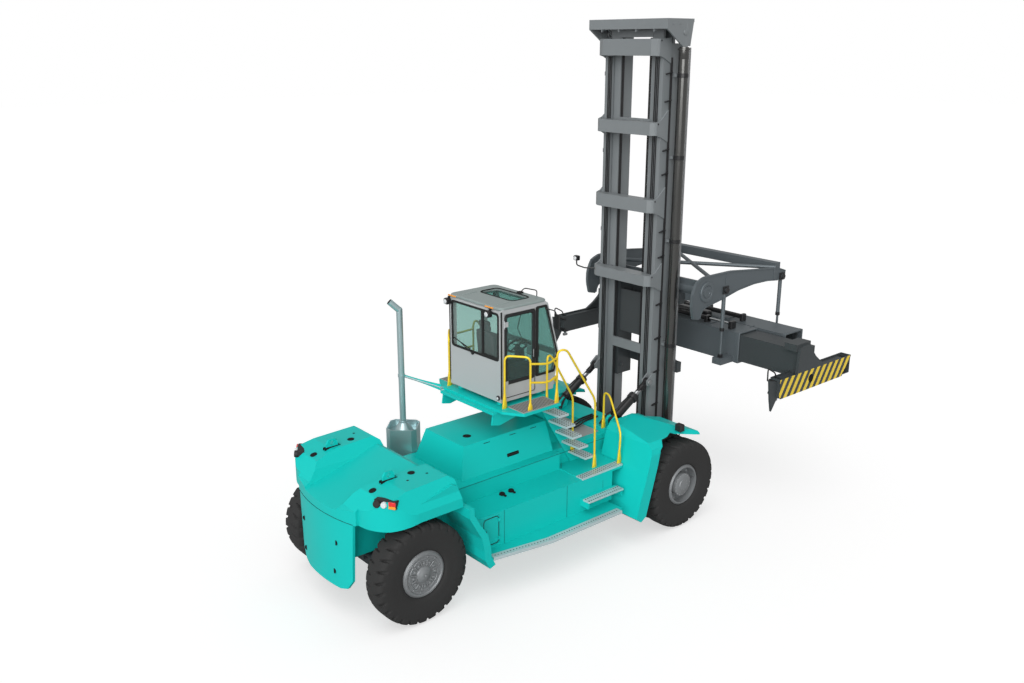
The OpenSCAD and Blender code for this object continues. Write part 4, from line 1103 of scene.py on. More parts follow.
def swell(obj: bpy.types.Object, cap: float) -> None:
    """Remesh a closed pad, let cloth pressure fill it, and keep each point within cap of its start.

    Args:
        obj: the pad.
        cap: furthest that a point may move, in metres.
    """
    scene = bpy.context.scene
    remesh = obj.modifiers.new("remesh", "REMESH")
    remesh.mode = "VOXEL"
    remesh.voxel_size = 0.009
    bake(obj)
    start = coordinates(obj.data)
    cloth = obj.modifiers.new("cloth", "CLOTH")
    cloth.settings.use_pressure = True
    cloth.settings.uniform_pressure_force = 4.0
    cloth.settings.effector_weights.gravity = 0.0
    cloth.point_cache.frame_start, cloth.point_cache.frame_end = 1, 12
    for frame in range(1, 13):
        scene.frame_set(frame)
    bake(obj)
    scene.frame_set(1)
    move = coordinates(obj.data) - start
    length = np.linalg.norm(move, axis=1, keepdims=True)
    held = start + move * np.minimum(1.0, cap / np.maximum(length, 1e-9))
    obj.data.vertices.foreach_set("co", held.ravel())
    obj.data.polygons.foreach_set("use_smooth", np.ones(len(obj.data.polygons), bool))
    obj.data.update()


def coordinates(mesh: bpy.types.Mesh) -> Array:
    """The mesh's points as an array (n, 3)."""
    out = np.empty(len(mesh.vertices) * 3)
    mesh.vertices.foreach_get("co", out)
    return out.reshape(-1, 3)


def bake(obj: bpy.types.Object) -> None:
    """Apply the object's modifiers to its own mesh, and keep its material."""
    graph = bpy.context.evaluated_depsgraph_get()
    done = bpy.data.meshes.new_from_object(obj.evaluated_get(graph))
    obj.modifiers.clear()
    material = obj.data.materials[0]
    obj.data = done
    obj.data.materials.clear()
    obj.data.materials.append(material)


@dataclass
class Walkways:
    """Step plates, treads, the grating beside the cab and the plates behind the mast."""

    treads: tuple[tuple[float, float], ...] = ((-2.480, 2.720), (-2.310, 2.470), (-2.140, 2.220),
                                               (-1.970, 1.970), (-1.800, 1.720))

    def build(self) -> None:
        """Make the steel plates, with near-black discs of painted shade in their holes, and the gratings, whose
        slots are painted shade.
        """
        plates, holes, deck, slots = Shape(), Shape(), Shape(), Shape()
        for x, top in self.treads:
            self.strip(plates, holes, (x - 0.1165, x + 0.1165), (0.772, 1.2455), (top - 0.037, top + 0.003))
        self.strip(plates, holes, (-2.242, -1.178), (1.330, 1.502), (1.452, 1.489))
        self.strip(plates, holes, (-2.272, -1.368), (1.560, 1.722), (1.078, 1.113))
        self.board_edge(plates, holes)
        deck.block((-3.42, -2.575), (0.775, 1.215), (2.969, 2.978), 0.003)
        # The grating's slots are near-black strips: painted shade between the bars.
        for x in np.arange(-3.39, -2.60, 0.045):
            slots.block((x, x + 0.014), (0.80, 1.19), (2.974, 2.9795), 0.001)
        deck.block((-2.545, -1.90), (-0.0, 0.40), (2.969, 2.975), 0.002)
        for shape in (plates, holes, deck, slots):
            shape.mirrored()
        deck.block((-1.82, -0.92), (-0.60, 0.60), (1.798, 1.812), 0.004)
        # Two more near-black strips of painted shade in the deck behind the mast.
        for y in (-0.2, 0.2):
            slots.block((-1.80, -0.93), (y - 0.003, y + 0.003), (1.808, 1.8135), 0.001)
        plates.to_object("tread_plates", "chassis", TREAD)
        holes.to_object("tread_holes", "chassis", SHADE_AND_DARK_PARTS)
        deck.to_object("deck_plates", "chassis", DECK)
        slots.to_object("deck_slots", "chassis", SHADE_AND_DARK_PARTS)

    @staticmethod
    def strip(plates: Shape, holes: Shape, x: tuple[float, float], y: tuple[float, float],
              z: tuple[float, float]) -> None:
        """One folded plate with two rows of round holes and a row in its outer lip."""
        plates.block(x, y, z, 0.003)
        xs = np.linspace(x[0] + 0.035, x[1] - 0.035, max(int((x[1] - x[0]) / 0.055), 2))
        ys = np.linspace(y[0] + 0.035, y[1] - 0.035, max(int((y[1] - y[0]) / 0.055), 2))
        # Each hole is a near-black disc on the plate: painted shade for the hole's dark inside.
        dot = Shape().lathe([(0.014, -0.004), (0.014, 0.0008), (0.001, 0.0010)], (0.0, 0.0, 0.0), (0, 0, 1),
                8)
        gx, gy = np.meshgrid(xs, ys)
        holes.copies(dot, np.stack([gx.ravel(), gy.ravel(), np.full(gx.size, z[1])], 1))

    def board_edge(self, plates: Shape, holes: Shape) -> None:
        """The running board's pale outer strip, which follows its bend."""
        line = np.array([(-4.545, 1.755), (-3.392, 1.945), (-1.645, 1.945)])
        inner = line - [(0.0, 0.12), (0.0, 0.125), (0.0, 0.125)]
        outline = np.vstack([line + [(-0.010, 0.017), (0.0, 0.018), (0.0, 0.018)], inner[::-1]])
        plates.plate(outline, Plane.XY, 0.776, 0.834, 0.003)
        dot = Shape().lathe([(0.012, -0.004), (0.012, 0.0008), (0.001, 0.0010)], (0.0, 0.0, 0.0), (0, 0, 1),
                8)
        x = np.arange(-4.48, -1.68, 0.06)
        y = np.interp(x, line[:, 0], line[:, 1]) - 0.055
        holes.copies(dot, np.stack([x, y, np.full(len(x), 0.834)], 1))


@dataclass
class HandRails:
    """The bent yellow tubes with their flattened feet; both sides alike."""

    radius: float = 0.020
    bend: float = 0.11
    door_post: float = -3.220
    runs: tuple[tuple[Point, ...], ...] = (
        ((-3.500, -0.800, 2.970), (-3.500, -0.800, 3.940), (-3.220, -1.160, 3.940), (-3.220, -1.160, 2.970)),
        ((-3.220, -1.160, 3.820), (-2.900, -1.265, 3.780), (-2.620, -1.190, 3.820)),
        ((-3.220, -1.160, 3.480), (-2.900, -1.265, 3.440), (-2.620, -1.190, 3.480)),
        ((-2.620, -1.190, 2.970), (-2.620, -1.190, 3.940), (-2.470, -1.265, 3.960), (-1.720, -1.265, 2.840),
         (-1.700, -1.265, 1.485)),
        ((-2.490, -0.790, 2.720), (-2.490, -0.790, 3.720), (-2.400, -0.790, 3.720), (-1.830, -0.790, 2.780),
         (-1.815, -0.790, 1.720)),
        ((-0.900, -0.700, 1.900), (-0.900, -0.700, 2.640), (-0.905, -0.850, 2.620), (-1.160, -1.405, 2.080),
         (-1.205, -1.430, 1.485)))

    def build(self) -> None:
        """Make the tubes in place of the frame's straight-jointed ones."""
        rails = Shape()
        for run in self.runs:
            rails.tube(round_corners(run, self.bend, 7), self.radius, 14)
            for foot, above in ((run[0], run[1]), (run[-1], run[-2])):
                if above[2] - foot[2] > 0.3:
                    self.foot(rails, foot, 0.13 if foot[0] == self.door_post else 0.27)
        rails.mirrored()
        rails.to_object("hand_rails", "chassis", YELLOW, 0.8, ["safety_rails"])

    def foot(self, rails: Shape, at: Point, height: float) -> None:
        """A tube end pressed flat: a plate that widens towards the floor; short where a door swings over it."""
        x, y, z = at
        outline = [(x - 0.050, z), (x + 0.050, z), (x + 0.046, z + 0.06), (x + 0.021, z + height),
                (x - 0.021, z + height),
                   (x - 0.046, z + 0.06)]
        rails.plate(outline, Plane.XZ, y - 0.017, y + 0.017, 0.008)


@dataclass
class MastDetails:
    """Chains, clips, pulleys, bolts, hoses and the small lamp of the mast."""

    half: float = 0.740
    hoist_x: float = 0.700
    chain_x: float = 0.866
    chain_y: float = 0.930
    link: float = 0.062

    def build(self) -> None:
        """Make the pieces on the outer mast, the inner mast and the carriage."""
        self.chains()
        self.clips()
        self.crosshead()
        self.side_lamp()
        self.inner_hoses()
        self.tilt_cylinders()

    def chains(self) -> None:
        """Roller chains in front of the lift cylinders: pairs of link plates and their pins."""
        chain = Shape()
        link = Shape()
        for y in (-0.017, -0.007, 0.003, 0.013):
            link.block((-0.019, 0.019), (y, y + 0.005), (-self.link * 0.56, self.link * 0.56), 0.002)
        link.lathe([(0.006, -0.023), (0.006, 0.023)], (0.0, 0.0, self.link * 0.4), (0, 1, 0), 6)
        z = np.arange(0.62, 9.02, self.link)
        for s in (1, -1):
            chain.copies(link, np.stack([np.full(len(z), self.chain_x), np.full(len(z), s * self.chain_y),
                    z], 1))
            chain.block((0.800, 0.905), span(s, 0.90, 0.96), (0.445, 0.64), 0.01)
        chain.to_object("lift_chains", "outer_mast", LOCK, 0.5)

    def clips(self) -> None:
        """Slanted clips that hold the hoses along the columns, bolt rows and cylinder bands."""
        dark, hose, bands, gland, pipes = Shape(), Shape(), Shape(), Shape(), Shape()
        levels = np.array([1.35, 2.05, 2.75, 3.45, 4.15, 5.10, 5.60, 6.70, 7.15, 8.05, 8.55])
        for s in (1, -1):
            for z in levels:
                y = s * (self.half + 0.004)
                dark.plate([(0.430, z), (0.585, z + 0.03), (0.585, z + 0.048), (0.430, z + 0.018)], Plane.XZ,
                           *sorted((y, y + s * 0.05)), 0.003)
            for x in (0.555, 0.585):
                path = [(x, s * (self.half + 0.024), z) for z in (1.0, 3.0, 6.0, 8.85)]
                hose.tube(path, 0.012, 8)
            for z in (1.53, 3.33, 5.43, 7.03, 8.53):
                bands.lathe([(0.096, -0.04), (0.106, -0.036), (0.106, 0.036), (0.096, 0.04)], (self.hoist_x,
                        s * 0.930, z),
                            (0, 0, 1), 28)
            gland.lathe([(0.094, -0.03), (0.097, -0.02), (0.097, 0.135), (0.116, 0.14), (0.116, 0.165),
                    (0.092, 0.17),
                         (0.088, 0.19), (0.068, 0.19)], (self.hoist_x, s * 0.930, 8.845), (0, 0, 1), 32)
            for x in (0.562, 0.602, 0.642):
                pipes.tube([(0.358, s * x, z) for z in (1.0, 4.5, 8.86)], 0.011, 8)
            for z in (9.15, 7.66, 6.22, 4.75):
                dark.bolt((0.262, s * 0.770, z), (0, s, 0), 0.012)
        dark.to_object("mast_clips", "outer_mast", BLACK)
        hose.to_object("mast_hoses", "outer_mast", HOSE)
        bands.to_object("cylinder_bands", "outer_mast", BLACK)
        gland.to_object("cylinder_glands", "outer_mast", BARREL)
        pipes.to_object("mast_pipes", "outer_mast", BLACK)

    def crosshead(self) -> None:
        """Pins of the crosshead's side plates, the chain pulleys and welded ribs."""
        pins, wheels = Shape(), Shape()
        for s in (1, -1):
            pins.lathe(round_head(0.050, 0.014, 0.042, 0.020), (0.640, s * 0.990, 9.290),
                       (0, s, 0), 24)
            pins.bolt((0.30, s * 0.990, 9.44), (0, s, 0), 0.014)
            pins.bolt((0.48, s * 0.990, 9.44), (0, s, 0), 0.014)
            wheels.lathe([(0.06, -0.03), (0.120, -0.03), (0.120, -0.022), (0.100, -0.018), (0.100, 0.018),
                    (0.120, 0.022),
                          (0.120, 0.03), (0.06, 0.03)], (0.700, s * 0.905, 9.265), (0, 1, 0), 32)
        for y in (-0.66, -0.22, 0.22, 0.66):
            pins.plate([(0.150, 9.348), (0.150, 9.30), (0.30, 9.348)], Plane.XZ, y - 0.008, y + 0.008, 0.002)
        pins.to_object("crosshead_pins", "inner_mast", CHARCOAL)
        wheels.to_object("chain_pulleys", "inner_mast", LOCK)

    def side_lamp(self) -> None:
        """The small work lamp on a stem at the left end of the lowest cross member."""
        stem = Shape()
        path = [(0.24, 0.76, 4.68), (0.10, 0.92, 4.68), (0.10, 1.16, 4.70), (0.10, 1.16, 4.80)]
        stem.tube(round_corners(path, 0.05), 0.014, 10)
        stem.block((0.05, 0.15), (1.10, 1.22), (4.80, 4.90), 0.014)
        stem.to_object("mast_lamp", "outer_mast", BLACK)
        lens = Shape().lathe([(0.040, 0.0), (0.034, 0.008), (0.001, 0.010)], (0.049, 1.16, 4.85), (-1, 0, 0),
                18)
        lens.to_object("mast_lamp_lens", "outer_mast", CLEAR)

    def inner_hoses(self) -> None:
        """Hoses and a conduit inside the inner mast, and bolts on the carriage's plates."""
        hose = Shape()
        for y in (-0.37, -0.335, 0.335, 0.37):
            hose.tube([(0.46, y, z) for z in (0.9, 4.0, 9.2)], 0.013, 8)
        hose.to_object("inner_mast_hoses", "inner_mast", HOSE)
        plates = Shape()
        for s in (1, -1):
            for z in (2.65, 4.25):
                plates.lathe(round_head(0.05, 0.018, 0.040, 0.024), (0.600, s * 0.284, z),
                             (0, -s, 0), 20)
        plates.to_object("carriage_fittings", "carriage", CARRIAGE)

    @staticmethod
    def tilt_cylinders() -> None:
        """Collars, ports and hoses of the tilt barrels, and the pin heads at both ends."""
        a = np.array([-0.680, 2.000])
        b = np.array([0.280, 2.600])
        run = unit(b - a)
        axis = (run[0], 0.0, run[1])
        for side in Side:
            s = side.value
            collar, cap = Shape(), Shape()

            def at(distance: float) -> Point:
                """A point on the cylinder's centre line."""
                return (a[0] + run[0] * distance, s * 0.730, a[1] + run[1] * distance)

            for d, r, half in ((0.165, 0.094, 0.026), (0.640, 0.108, 0.030), (0.700, 0.108, 0.012)):
                collar.lathe([(0.084, -half), (r, -half + 0.004), (r, half - 0.004), (0.084, half)], at(d),
                        axis, 28)
            port = np.asarray(at(0.60)) + [-0.050, 0.0, 0.080]
            collar.block((port[0] - 0.03, port[0] + 0.03), (port[1] - 0.03, port[1] + 0.03), (port[2] - 0.03,
                    port[2] + 0.02), 0.008)
            line = [tuple(port + [0, 0, 0.02]), tuple(np.asarray(at(0.35)) + [-0.07, 0, 0.12]),
                    tuple(np.asarray(at(0.22)) + [-0.06, 0, 0.10])]
            collar.tube(round_corners(line, 0.05), 0.012, 8)
            for k in range(6):
                t = k * np.pi / 3
                off = np.array([-run[1] * np.cos(t), np.sin(t), run[0] * np.cos(t)]) * 0.085
                collar.bolt(tuple(np.asarray(at(0.730)) + off), axis, 0.010)
            collar.to_object(f"tilt_collars_{side.word}", f"tilt_barrel_{side.word}", BLACK)
            cap.lathe(round_head(0.055, 0.012, 0.045, 0.018), (a[0], s * 0.842, a[1]), (0, s, 0), 20)
            cap.to_object(f"tilt_base_pins_{side.word}", "chassis", LOCK)
            head = Shape()
            head.lathe(round_head(0.048, 0.012, 0.040, 0.018), (b[0], s * 0.809, b[1]), (0, s, 0), 20)
            head.to_object(f"tilt_eye_pins_{side.word}", "outer_mast", LOCK)


@dataclass
class Tail:
    """The counterweight's slots, holes, screws and lamps."""

    eye_x: float = -6.010

    def build(self) -> None:
        """Make the fine pieces of the tail."""
        # Near-black slots, holes and screw holes on the tail: painted shade for their dark insides.
        void = Shape()
        for s in (1, -1):
            void.block((self.eye_x - 0.16, self.eye_x + 0.16), span(s, 0.852, 0.859), (2.33, 2.412), 0.002)
            void.block((self.eye_x - 0.16, self.eye_x + 0.16), span(s, 0.901, 0.908), (2.33, 2.412), 0.002)
            for x, z in ((-5.60, 2.4088), (-6.345, 2.3225)):
                void.lathe([(0.062, -0.02), (0.062, 0.003), (0.052, 0.0035), (0.001, 0.0035)], (x, s * 0.93,
                        z),
                           (-0.08, 0, 1) if x > -6 else (-0.35, 0, 1), 24)
            for x, z in ((-5.42, 2.4125), (-5.80, 2.398)):
                void.lathe([(0.022, -0.01), (0.022, 0.003), (0.001, 0.0035)], (x, s * 1.12, z), (-0.05, 0,
                        1), 14)
        void.to_object("tail_holes", "chassis", SHADE_AND_DARK_PARTS)
        self.lamps()
        self.plate_holes()

    def lamps(self) -> None:
        """A cluster on each rear corner: a round black lamp, a clear lens and a red one."""
        body, clear, red, amber = Shape(), Shape(), Shape(), Shape()
        for side in Side:
            s = side.value
            base = np.array([-6.400, s * 1.375, 2.262])
            out = unit(np.array([-0.846, s * 0.534, 0.10]))
            along = np.array([0.534, s * 0.846, 0.0])
            place = np.column_stack([along, out, [0, 0, 1], base])
            housing = Shape().block((-0.19, 0.19), (-0.12, 0.006), (-0.070, 0.070), 0.012)
            body.merge(housing, place)
            for offset, shape, size in ((-0.13, body, 0.062), (-0.01, clear, 0.052)):
                centre = base + along * offset + out * 0.012
                shape.lathe([(size, -0.01), (size, 0.035), (size * 0.8, 0.05), (0.001, 0.052)],
                        tuple(centre), tuple(out), 24)
            red.merge(Shape().block((0.065, 0.185), (0.008, 0.035), (-0.010, 0.060), 0.008), place)
            amber.merge(Shape().block((0.065, 0.185), (0.008, 0.035), (-0.060, -0.012), 0.008), place)
        body.to_object("tail_lamp_bodies", "chassis", TRIM)
        clear.to_object("tail_lamp_clear", "chassis", CLEAR)
        red.to_object("tail_lamp_red", "chassis", RED)
        amber.to_object("tail_lamp_amber", "chassis", AMBER)

    def plate_holes(self) -> None:
        """Near-black discs of painted shade in the rear plate's holes, and the dark seam under the tail's lid.

        The plate is an arc of radius 3 m about x = -3.81, so a point at y lies at
        x = -3.81 - sqrt(9 - y^2).
        """
        void = Shape()
        # Each hole is a near-black disc: painted shade for its dark inside.
        for y, z in ((-0.44, 1.35), (-0.36, 0.81), (0.64, 1.36), (0.64, 0.80)):
            x = -3.81 - np.sqrt(9.0 - y * y)
            void.lathe([(0.045, -0.01), (0.045, 0.004), (0.036, 0.004), (0.001, 0.0042)], (x, y, z), (-1,
                    -y * 0.33, 0), 20)
        y = np.linspace(-0.85, 0.85, 40)
        void.seam(np.stack([-3.8105 - np.sqrt(9.0 - y * y), y, np.full(40, 1.795)], 1), 0.005)
        void.to_object("rear_plate_holes", "chassis", SHADE_AND_DARK_PARTS)


@dataclass
class HoodSkin:
    """Seams, handle recess and vent hole of the hood."""

    foot: float = 1.8003
    top: float = 2.370

    def side_y(self, z: float) -> float:
        """The right face's y at height z: it leans from -0.710 at the foot to -0.560 at the top."""
        return -0.710 + 0.150 * (z - self.foot) / (self.top - self.foot)

    def on_side(self, x: float, z: float, out: float = 0.001) -> Point:
        """A point just outside the right face."""
        return (x, self.side_y(z) - out, z)

    def build(self) -> None:
        """Make the dark seams, and the handle recess and vent hole in painted shade."""
        dark = Shape()
        for x in (-3.80, -3.20, -2.70):
            dark.seam([self.on_side(x, 2.315), self.on_side(x + 0.14, 2.315)], 0.006)
        # The handle recess is a near-black pocket: painted shade inside it.
        recess = soft_outline([(-3.33, 1.950), (-3.05, 1.950), (-3.05, 2.012), (-3.33, 2.012)], 0.02)
        ring = np.array([self.on_side(x, z, 0.0015) for x, z in recess])
        dark.grid(np.stack([ring + [0, 0.02, 0], ring]), loop_columns=True, caps=True)
        # The vent hole is a near-black disc: painted shade.
        dark.lathe([(0.078, -0.004), (0.078, 0.0015), (0.001, 0.002)], (-3.89, -0.21, self.top), (0, 0, 1),
                28)
        dark.seam([(-2.262, y, 1.803) for y in (-0.70, 0.70)], 0.004)
        dark.to_object("hood_lines", "hood", SHADE_AND_DARK_PARTS)
        grip = Shape().block((-3.31, -3.07), (self.side_y(1.981) - 0.010, self.side_y(1.981) + 0.01), (1.973,
                1.989), 0.004)
        grip.to_object("hood_grip", "hood", TRIM)


@dataclass
class SideDetails:
    """Locker seal, handle and tag, filler caps, panel seams, exhaust clamp and the hoses by the tower."""

    def build(self) -> None:
        """Make the pieces along the truck's flanks."""
        self.locker()
        self.seams()
        self.exhaust()
        self.hoses()

    def locker(self) -> None:
        """A rounded black seal, a latch and a yellow tag on the right box's door."""
        seal = Shape()
        ring = rounded((-4.548, -4.222), (0.912, 1.408), 0.07)
        seal.tube(np.insert(ring, 1, -1.4965, axis=1), 0.006, 6, closed=True)
        seal.block((-4.53, -4.49), (-1.512, -1.494), (1.12, 1.20), 0.006)
        seal.to_object("locker_seal", "locker_door", GASKET)
        tag = Shape().plate([(-4.600, 1.215), (-4.572, 1.205), (-4.574, 1.150), (-4.602, 1.165)], Plane.XZ,
                -1.504, -1.500, 0.001)
        tag.to_object("locker_tag", "chassis", TAG)

    def seams(self) -> None:
        """Panel joints of the boxes and frame, filler caps and the tower's seams."""
        dark = Shape()
        for s in (1, -1):
            y = s * 1.5012
            dark.seam([(-4.10, y, 1.468), (-4.10, y, 0.84)], 0.003)
            dark.seam([(-2.62, y, 1.468), (-2.62, y, 0.84)], 0.003)
            dark.seam([(-4.69, s * 0.8915, 1.788), (-1.00, s * 0.8915, 1.788)], 0.004)
            for x in (-3.75, -3.54):
                dark.lathe(round_head(0.052, 0.03, 0.044, 0.040), (x, s * 1.02, 1.470), (0, 0, 1), 20)
                dark.block((x - 0.02, x + 0.02), span(s, 1.08, 1.13), (1.470, 1.50), 0.006)
            dark.seam([(-2.20, s * 0.892, 1.60), (-2.20, s * 0.892, 1.49)], 0.003)
        dark.block((-1.70, -1.695), (-1.502, -1.500), (1.13, 1.30), 0.001)
        dark.to_object("box_seams", "chassis", SHADE_AND_DARK_PARTS)

    @staticmethod
    def exhaust() -> None:
        """A clamp at the stay, a flange at the cone and a near-black disc of painted shade in the pipe's open
        mouth.
        """
        clamp = Shape()
        clamp.lathe([(0.060, -0.03), (0.068, -0.026), (0.068, 0.026), (0.060, 0.03)], (-4.27, 1.25, 3.22),
                (0, 0, 1), 28)
        clamp.lathe([(0.060, -0.02), (0.074, -0.015), (0.074, 0.010), (0.060, 0.016)], (-4.27, 1.25, 2.315),
                (0, 0, 1), 28)
        # The clamps are in the same steel, with its painted teal reflection.
        clamp.to_object("exhaust_clamps", "chassis", STEEL_PAINTED_TEAL_REFLECTION)
        start, end = np.array([-3.66, 0.85, 2.95]), np.array([-4.215, 1.215, 3.205])
        line = np.linspace(0, 1, 12)[:, None]
        path = start + (end - start) * line
        band = np.array([(-0.012, -1.0), (0.012, -1.0), (0.012, 1.0), (-0.012, 1.0)])
        width = 0.022 + 0.040 * (1 - line[:, 0]) ** 2
        stay = Shape()
        side = unit(np.cross(end - start, [0, 0, 1.0]))
        ring = path[:, None] + band[None, :, :1] * side + band[None, :, 1:] * width[:, None,
                None] * np.array([0, 0, 1.0])
        stay.grid(ring, loop_columns=True, caps=True)
        stay.to_object("exhaust_stay", "chassis", TEAL)
        # The open mouth is a near-black disc: painted shade inside the pipe.
        mouth = Shape()
        tip, run = np.array([-4.43, 1.33, 4.64]), unit(np.array([-0.16, 0.08, 0.17]))
        mouth.lathe([(0.052, -0.02), (0.052, 0.0015), (0.001, 0.002)], tuple(tip), tuple(run), 24)
        mouth.to_object("exhaust_mouth", "chassis", SHADE_AND_DARK_PARTS)

    @staticmethod
    def hoses() -> None:
        """Black hoses from the tower down to the deck and on to the mast's foot."""
        hoses = Shape()
        for i in range(3):
            y = -0.30 + 0.09 * i
            path = [(-1.845, y, 2.55), (-1.78, y, 2.45), (-1.74, y, 2.10), (-1.60, y, 1.93), (-1.20, y * 0.9,
                    1.86),
                    (-0.95, y * 0.8, 1.92), (-0.60, y * 0.8, 1.93)]
            hoses.tube(round_corners(path, 0.12, 6), 0.018, 10)
        for s in (1, -1):
            for i in range(2):
                path = [(-0.86, s * (0.60 - 0.05 * i), 1.93), (-0.70, s * 0.60, 2.12), (-0.50, s * 0.62,
                        2.14),
                        (-0.42, s * 0.650, 2.155 + 0.02 * i)]
                hoses.tube(round_corners(path, 0.10, 6), 0.015, 10)
        hoses.to_object("deck_hoses", "chassis", HOSE)


@dataclass
class SpreaderDetails:
    """Bosses, pins, collars, cylinders, hoses and guides of the arms, the frame and the end beams."""

    arm: float = 1.450
    tubes: tuple[tuple[float, float, float], ...] = ((1.990, -1.610, 2.250), (2.640, -2.250, 1.610))
    width: float = 0.610
    low: float = 2.850
    high: float = 3.480

    def build(self) -> None:
        """Make the pieces on the spreader and both end beams."""
        self.arms()
        self.frame_tubes()
        self.cylinders()
        self.ends()

    def arms(self) -> None:
        """Ring bosses, raised flanges, pin heads and rod collars of the hanging arms."""
        boss, pins = Shape(), Shape()
        top = [(0.750, 3.975), (0.690, 4.200), (0.695, 4.437), (0.800, 4.668), (1.013, 4.752), (1.870, 4.752),
               (3.060, 4.627), (3.440, 4.597), (3.715, 4.505)]
        under = [(0.945, 3.940), (0.962, 4.035), (1.030, 4.122), (1.195, 4.163), (1.540, 4.213), (2.110,
                4.333),
                 (2.620, 4.383), (3.090, 4.378), (3.440, 4.338), (3.705, 4.333)]
        for s in (1, -1):
            y = s * self.arm
            boss.lathe([(0.190, -0.060), (0.202, -0.052), (0.202, 0.022), (0.192, 0.032), (0.138, 0.032),
                    (0.128, 0.022),
                        (0.120, 0.020), (0.116, 0.034), (0.060, 0.037), (0.056, 0.031), (0.001, 0.031)],
                       (1.110, y, 4.450), (0, s, 0), 44)
            for line in (top, under):
                path = np.insert(np.asarray(line, float), 1, y - s * 0.020, axis=1)
                section = np.array([(-0.034, -0.010), (0.034, -0.010), (0.034, 0.010), (-0.034, 0.010)])
                boss.sweep(section, round_corners(path, 0.08, 5), up=(-1.0, 0.0, 0.3))
            for x in (1.695, 3.590):
                pins.lathe(round_head(0.060, 0.014, 0.050, 0.022), (x, y + s * 0.049, 4.400),
                           (0, s, 0), 22)
                pins.lathe([(0.025, -0.035), (0.048, -0.030), (0.048, 0.035), (0.041, 0.040)], (x, s * 1.430,
                        3.575),
                           (0, 0, 1), 22)
                pins.lathe([(0.027, -0.02), (0.056, 0.0), (0.056, 0.055), (0.027, 0.065)], (x, s * 1.430,
                        2.988), (0, 0, 1), 6)
                for y0, y1 in ((1.392, 1.405), (1.4515, 1.485)):
                    pins.block((x - 0.085, x + 0.085), tuple(sorted((s * y0, s * y1))), (4.32, 4.48), 0.008)
            for x, z0, z1 in ((1.70, 4.25, 4.74), (3.30, 4.37, 4.60)):
                boss.plate([(x, z0), (x + 0.02, z0), (x + 0.02, z1), (x, z1)], Plane.XZ, *sorted((y,
                        y + s * 0.012)), 0.003)
        boss.to_object("arm_flanges", "spreader", SPREADER_GREY)
        pins.to_object("arm_pins", "spreader", BLACK)

    def frame_tubes(self) -> None:
        """Collars at the tube mouths, stiffening bands, cover plates, and hose loops on the middle."""
        collar, hose, box = Shape(), Shape(), Shape()
        for x0, y0, y1 in self.tubes:
            x1 = x0 + self.width
            for y in (y0, y1):
                outer = rounded((x0 - 0.008, x1 + 0.008), (self.low - 0.008, self.high + 0.008), 0.02, 3)
                inner = rounded((x0 + 0.031, x1 - 0.031), (self.low + 0.026, self.high - 0.026), 0.02, 3)
                collar.frame(outer, inner, Plane.XZ, y - 0.045, y + 0.045, 0.008)
            for y in (-0.75, 0.75):
                collar.block((x0 + 0.05, x1 - 0.05), (y - 0.06, y + 0.06), (self.high, self.high + 0.014),
                        0.005)
            for y in np.arange(-1.5, 1.51, 0.6):
                collar.bolt((x0 + 0.04, y, self.high), (0, 0, 1), 0.014)
                collar.bolt((x1 - 0.04, y, self.high), (0, 0, 1), 0.014)
        collar.to_object("tube_collars", "spreader", SPREADER_GREY)
        box.block((2.40, 2.56), (-0.50, 0.45), (self.high, self.high + 0.15), 0.02)
        box.block((2.72, 3.12), (-0.10, 0.40), (self.high, self.high + 0.13), 0.02)
        box.block((2.80, 3.08), (0.60, 0.85), (self.high, self.high + 0.10), 0.02)
        box.to_object("valve_boxes", "spreader", BLACK)
        for i in range(4):
            x = 1.115
            y = -0.30 + 0.20 * i
            path = [(x, y, 4.40), (x + 0.20, y, 4.02), (x + 0.55, y * 0.9, 3.80), (2.15, y * 0.8, 3.66),
                    (2.42, y * 0.7, 3.60)]
            hose.tube(round_corners(path, 0.20, 7), 0.016, 10)
        hose.to_object("spreader_hoses", "spreader", HOSE)

    def cylinders(self) -> None:
        """The two telescope cylinders on the tubes' tops: barrel, lugs and a pale rod's stub."""
        body, rod = Shape(), Shape()
        for (x0, _, _), s in zip(self.tubes, (-1, 1)):
            x = x0 + 0.19
            start, end = (x, -s * 1.10, self.high + 0.09), (x, s * 0.72, self.high + 0.09)
            body.tube(np.array([start, end]), 0.050, 20)
            for y in (-s * 1.10, s * 0.68):
                body.block((x - 0.070, x + 0.070), (y - 0.04, y + 0.04), (self.high, self.high + 0.155),
                        0.012)
            rod.tube(np.array([end, (x, s * 1.30, self.high + 0.09)]), 0.028, 18)
            body.block((x - 0.085, x + 0.085), span(s, 1.27, 1.36), (self.high, self.high + 0.16), 0.014)
        body.to_object("telescope_barrels", "spreader", BLACK)
        rod.to_object("telescope_rods", "spreader", CHROME)

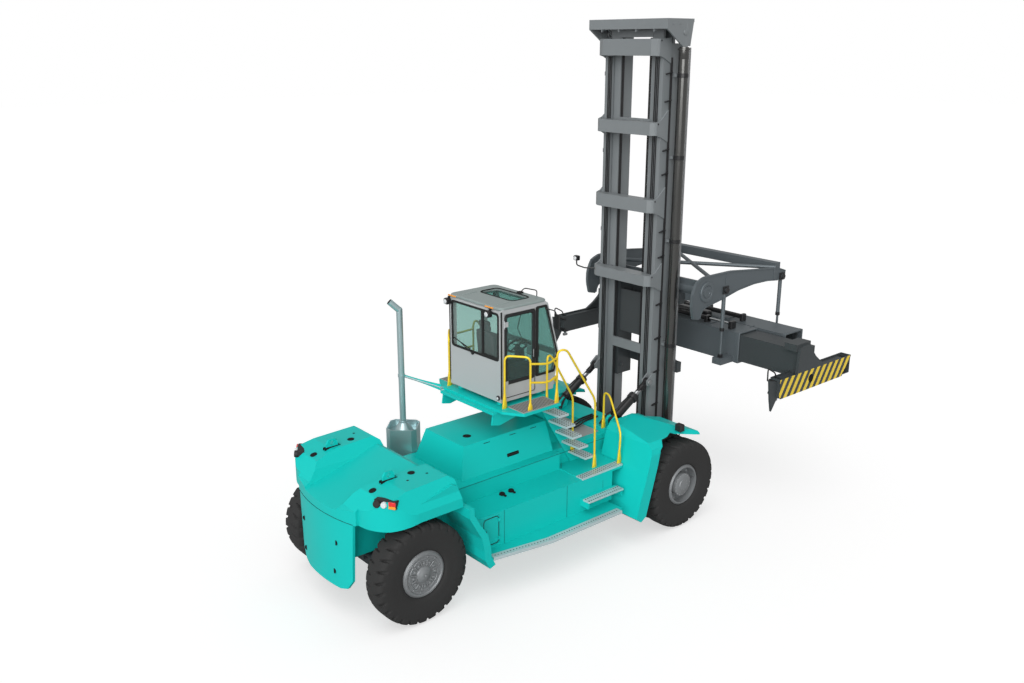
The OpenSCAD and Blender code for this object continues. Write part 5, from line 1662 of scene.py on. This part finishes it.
    def ends(self) -> None:
        """Near-black discs of painted shade for the holes in the striped plates, lock housings, bolts and guide
        hinges of both end beams.
        """
        for side in Side:
            s = side.value
            dark, steel = Shape(), Shape()
            hole_x = 2.43 if s < 0 else 2.81
            # The hole is a near-black disc: painted shade.
            dark.lathe([(0.085, -0.004), (0.085, 0.0012), (0.001, 0.0015)], (hole_x, s * 3.090, 2.810), (0,
                    s, 0), 28)
            dark.to_object(f"stripe_hole_{side.word}", f"end_{side.word}", SHADE_AND_DARK_PARTS)
            for x in (1.4905, 3.7495):
                steel.lathe([(0.075, -0.03), (0.085, -0.02), (0.085, 0.0), (0.040, 0.0)], (x, s * 2.9265,
                        2.622), (0, 0, -1), 26)
                steel.block((x - 0.085, x + 0.085), span(s, 2.875, 2.978), (2.64, 2.72), 0.01)
                steel.lathe(round_head(0.06, 0.06, 0.045, 0.07), (x, s * 2.9265, 2.862), (0, 0, 1), 22)
            for z in (2.68, 2.93):
                steel.lathe([(0.030, -0.02), (0.030, 0.150)], (1.405, s * 2.985, z), (0, s * -1.0, 0), 16)
            steel.tube(round_corners([(1.18, s * 2.95, 2.99), (1.17, s * 2.95, 3.24), (1.42, s * 2.95, 3.10),
                                      (1.44, s * 2.95, 2.99)], 0.07), 0.014, 10)
            steel.to_object(f"end_fittings_{side.word}", f"end_{side.word}", BLACK)


@dataclass
class FenderDetails:
    """Work lamps and bolts of the drive wheel covers."""

    def build(self) -> None:
        """Make the pieces on both sides."""
        body, lens, bolts = Shape(), Shape(), Shape()
        for s in (1, -1):
            body.tube(round_corners([(-0.10, s * 1.93, 1.90), (-0.10, s * 1.97, 1.98), (-0.10, s * 1.97,
                    2.02)], 0.03), 0.012, 8)
            body.block((-0.16, -0.04), (s * 1.95 - 0.08, s * 1.95 + 0.08), (2.01, 2.15), 0.016)
            lens.lathe([(0.044, 0.0), (0.038, 0.010), (0.001, 0.012)], (-0.039, s * 1.95, 2.08), (1, 0, 0),
                    20)
            for x in (-0.80, -0.60, -0.40):
                bolts.bolt((x, s * 0.99, 2.085 + (x + 0.8) * 0.02), (0, 0, 1), 0.012)
        body.to_object("fender_lamps", "chassis", TRIM)
        lens.to_object("fender_lamp_lenses", "chassis", CLEAR)
        bolts.to_object("fender_bolts", "chassis", LOCK)


ASSEMBLIES = [Wheels(), CabSkin(), CabInside(), Walkways(), HandRails(), Tail(), HoodSkin(), SideDetails(),
              MastDetails(), SpreaderDetails(), FenderDetails()]




def main() -> None:
    """Load the frame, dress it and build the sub-assemblies in order."""
    logging.basicConfig(level=logging.INFO, format="%(message)s")
    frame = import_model()
    dress_nodes(frame)
    Studio().build()
    for part in ASSEMBLIES:
        LOG.info("building %s", type(part).__name__)
        part.build()


if __name__ == "__main__":
    main()
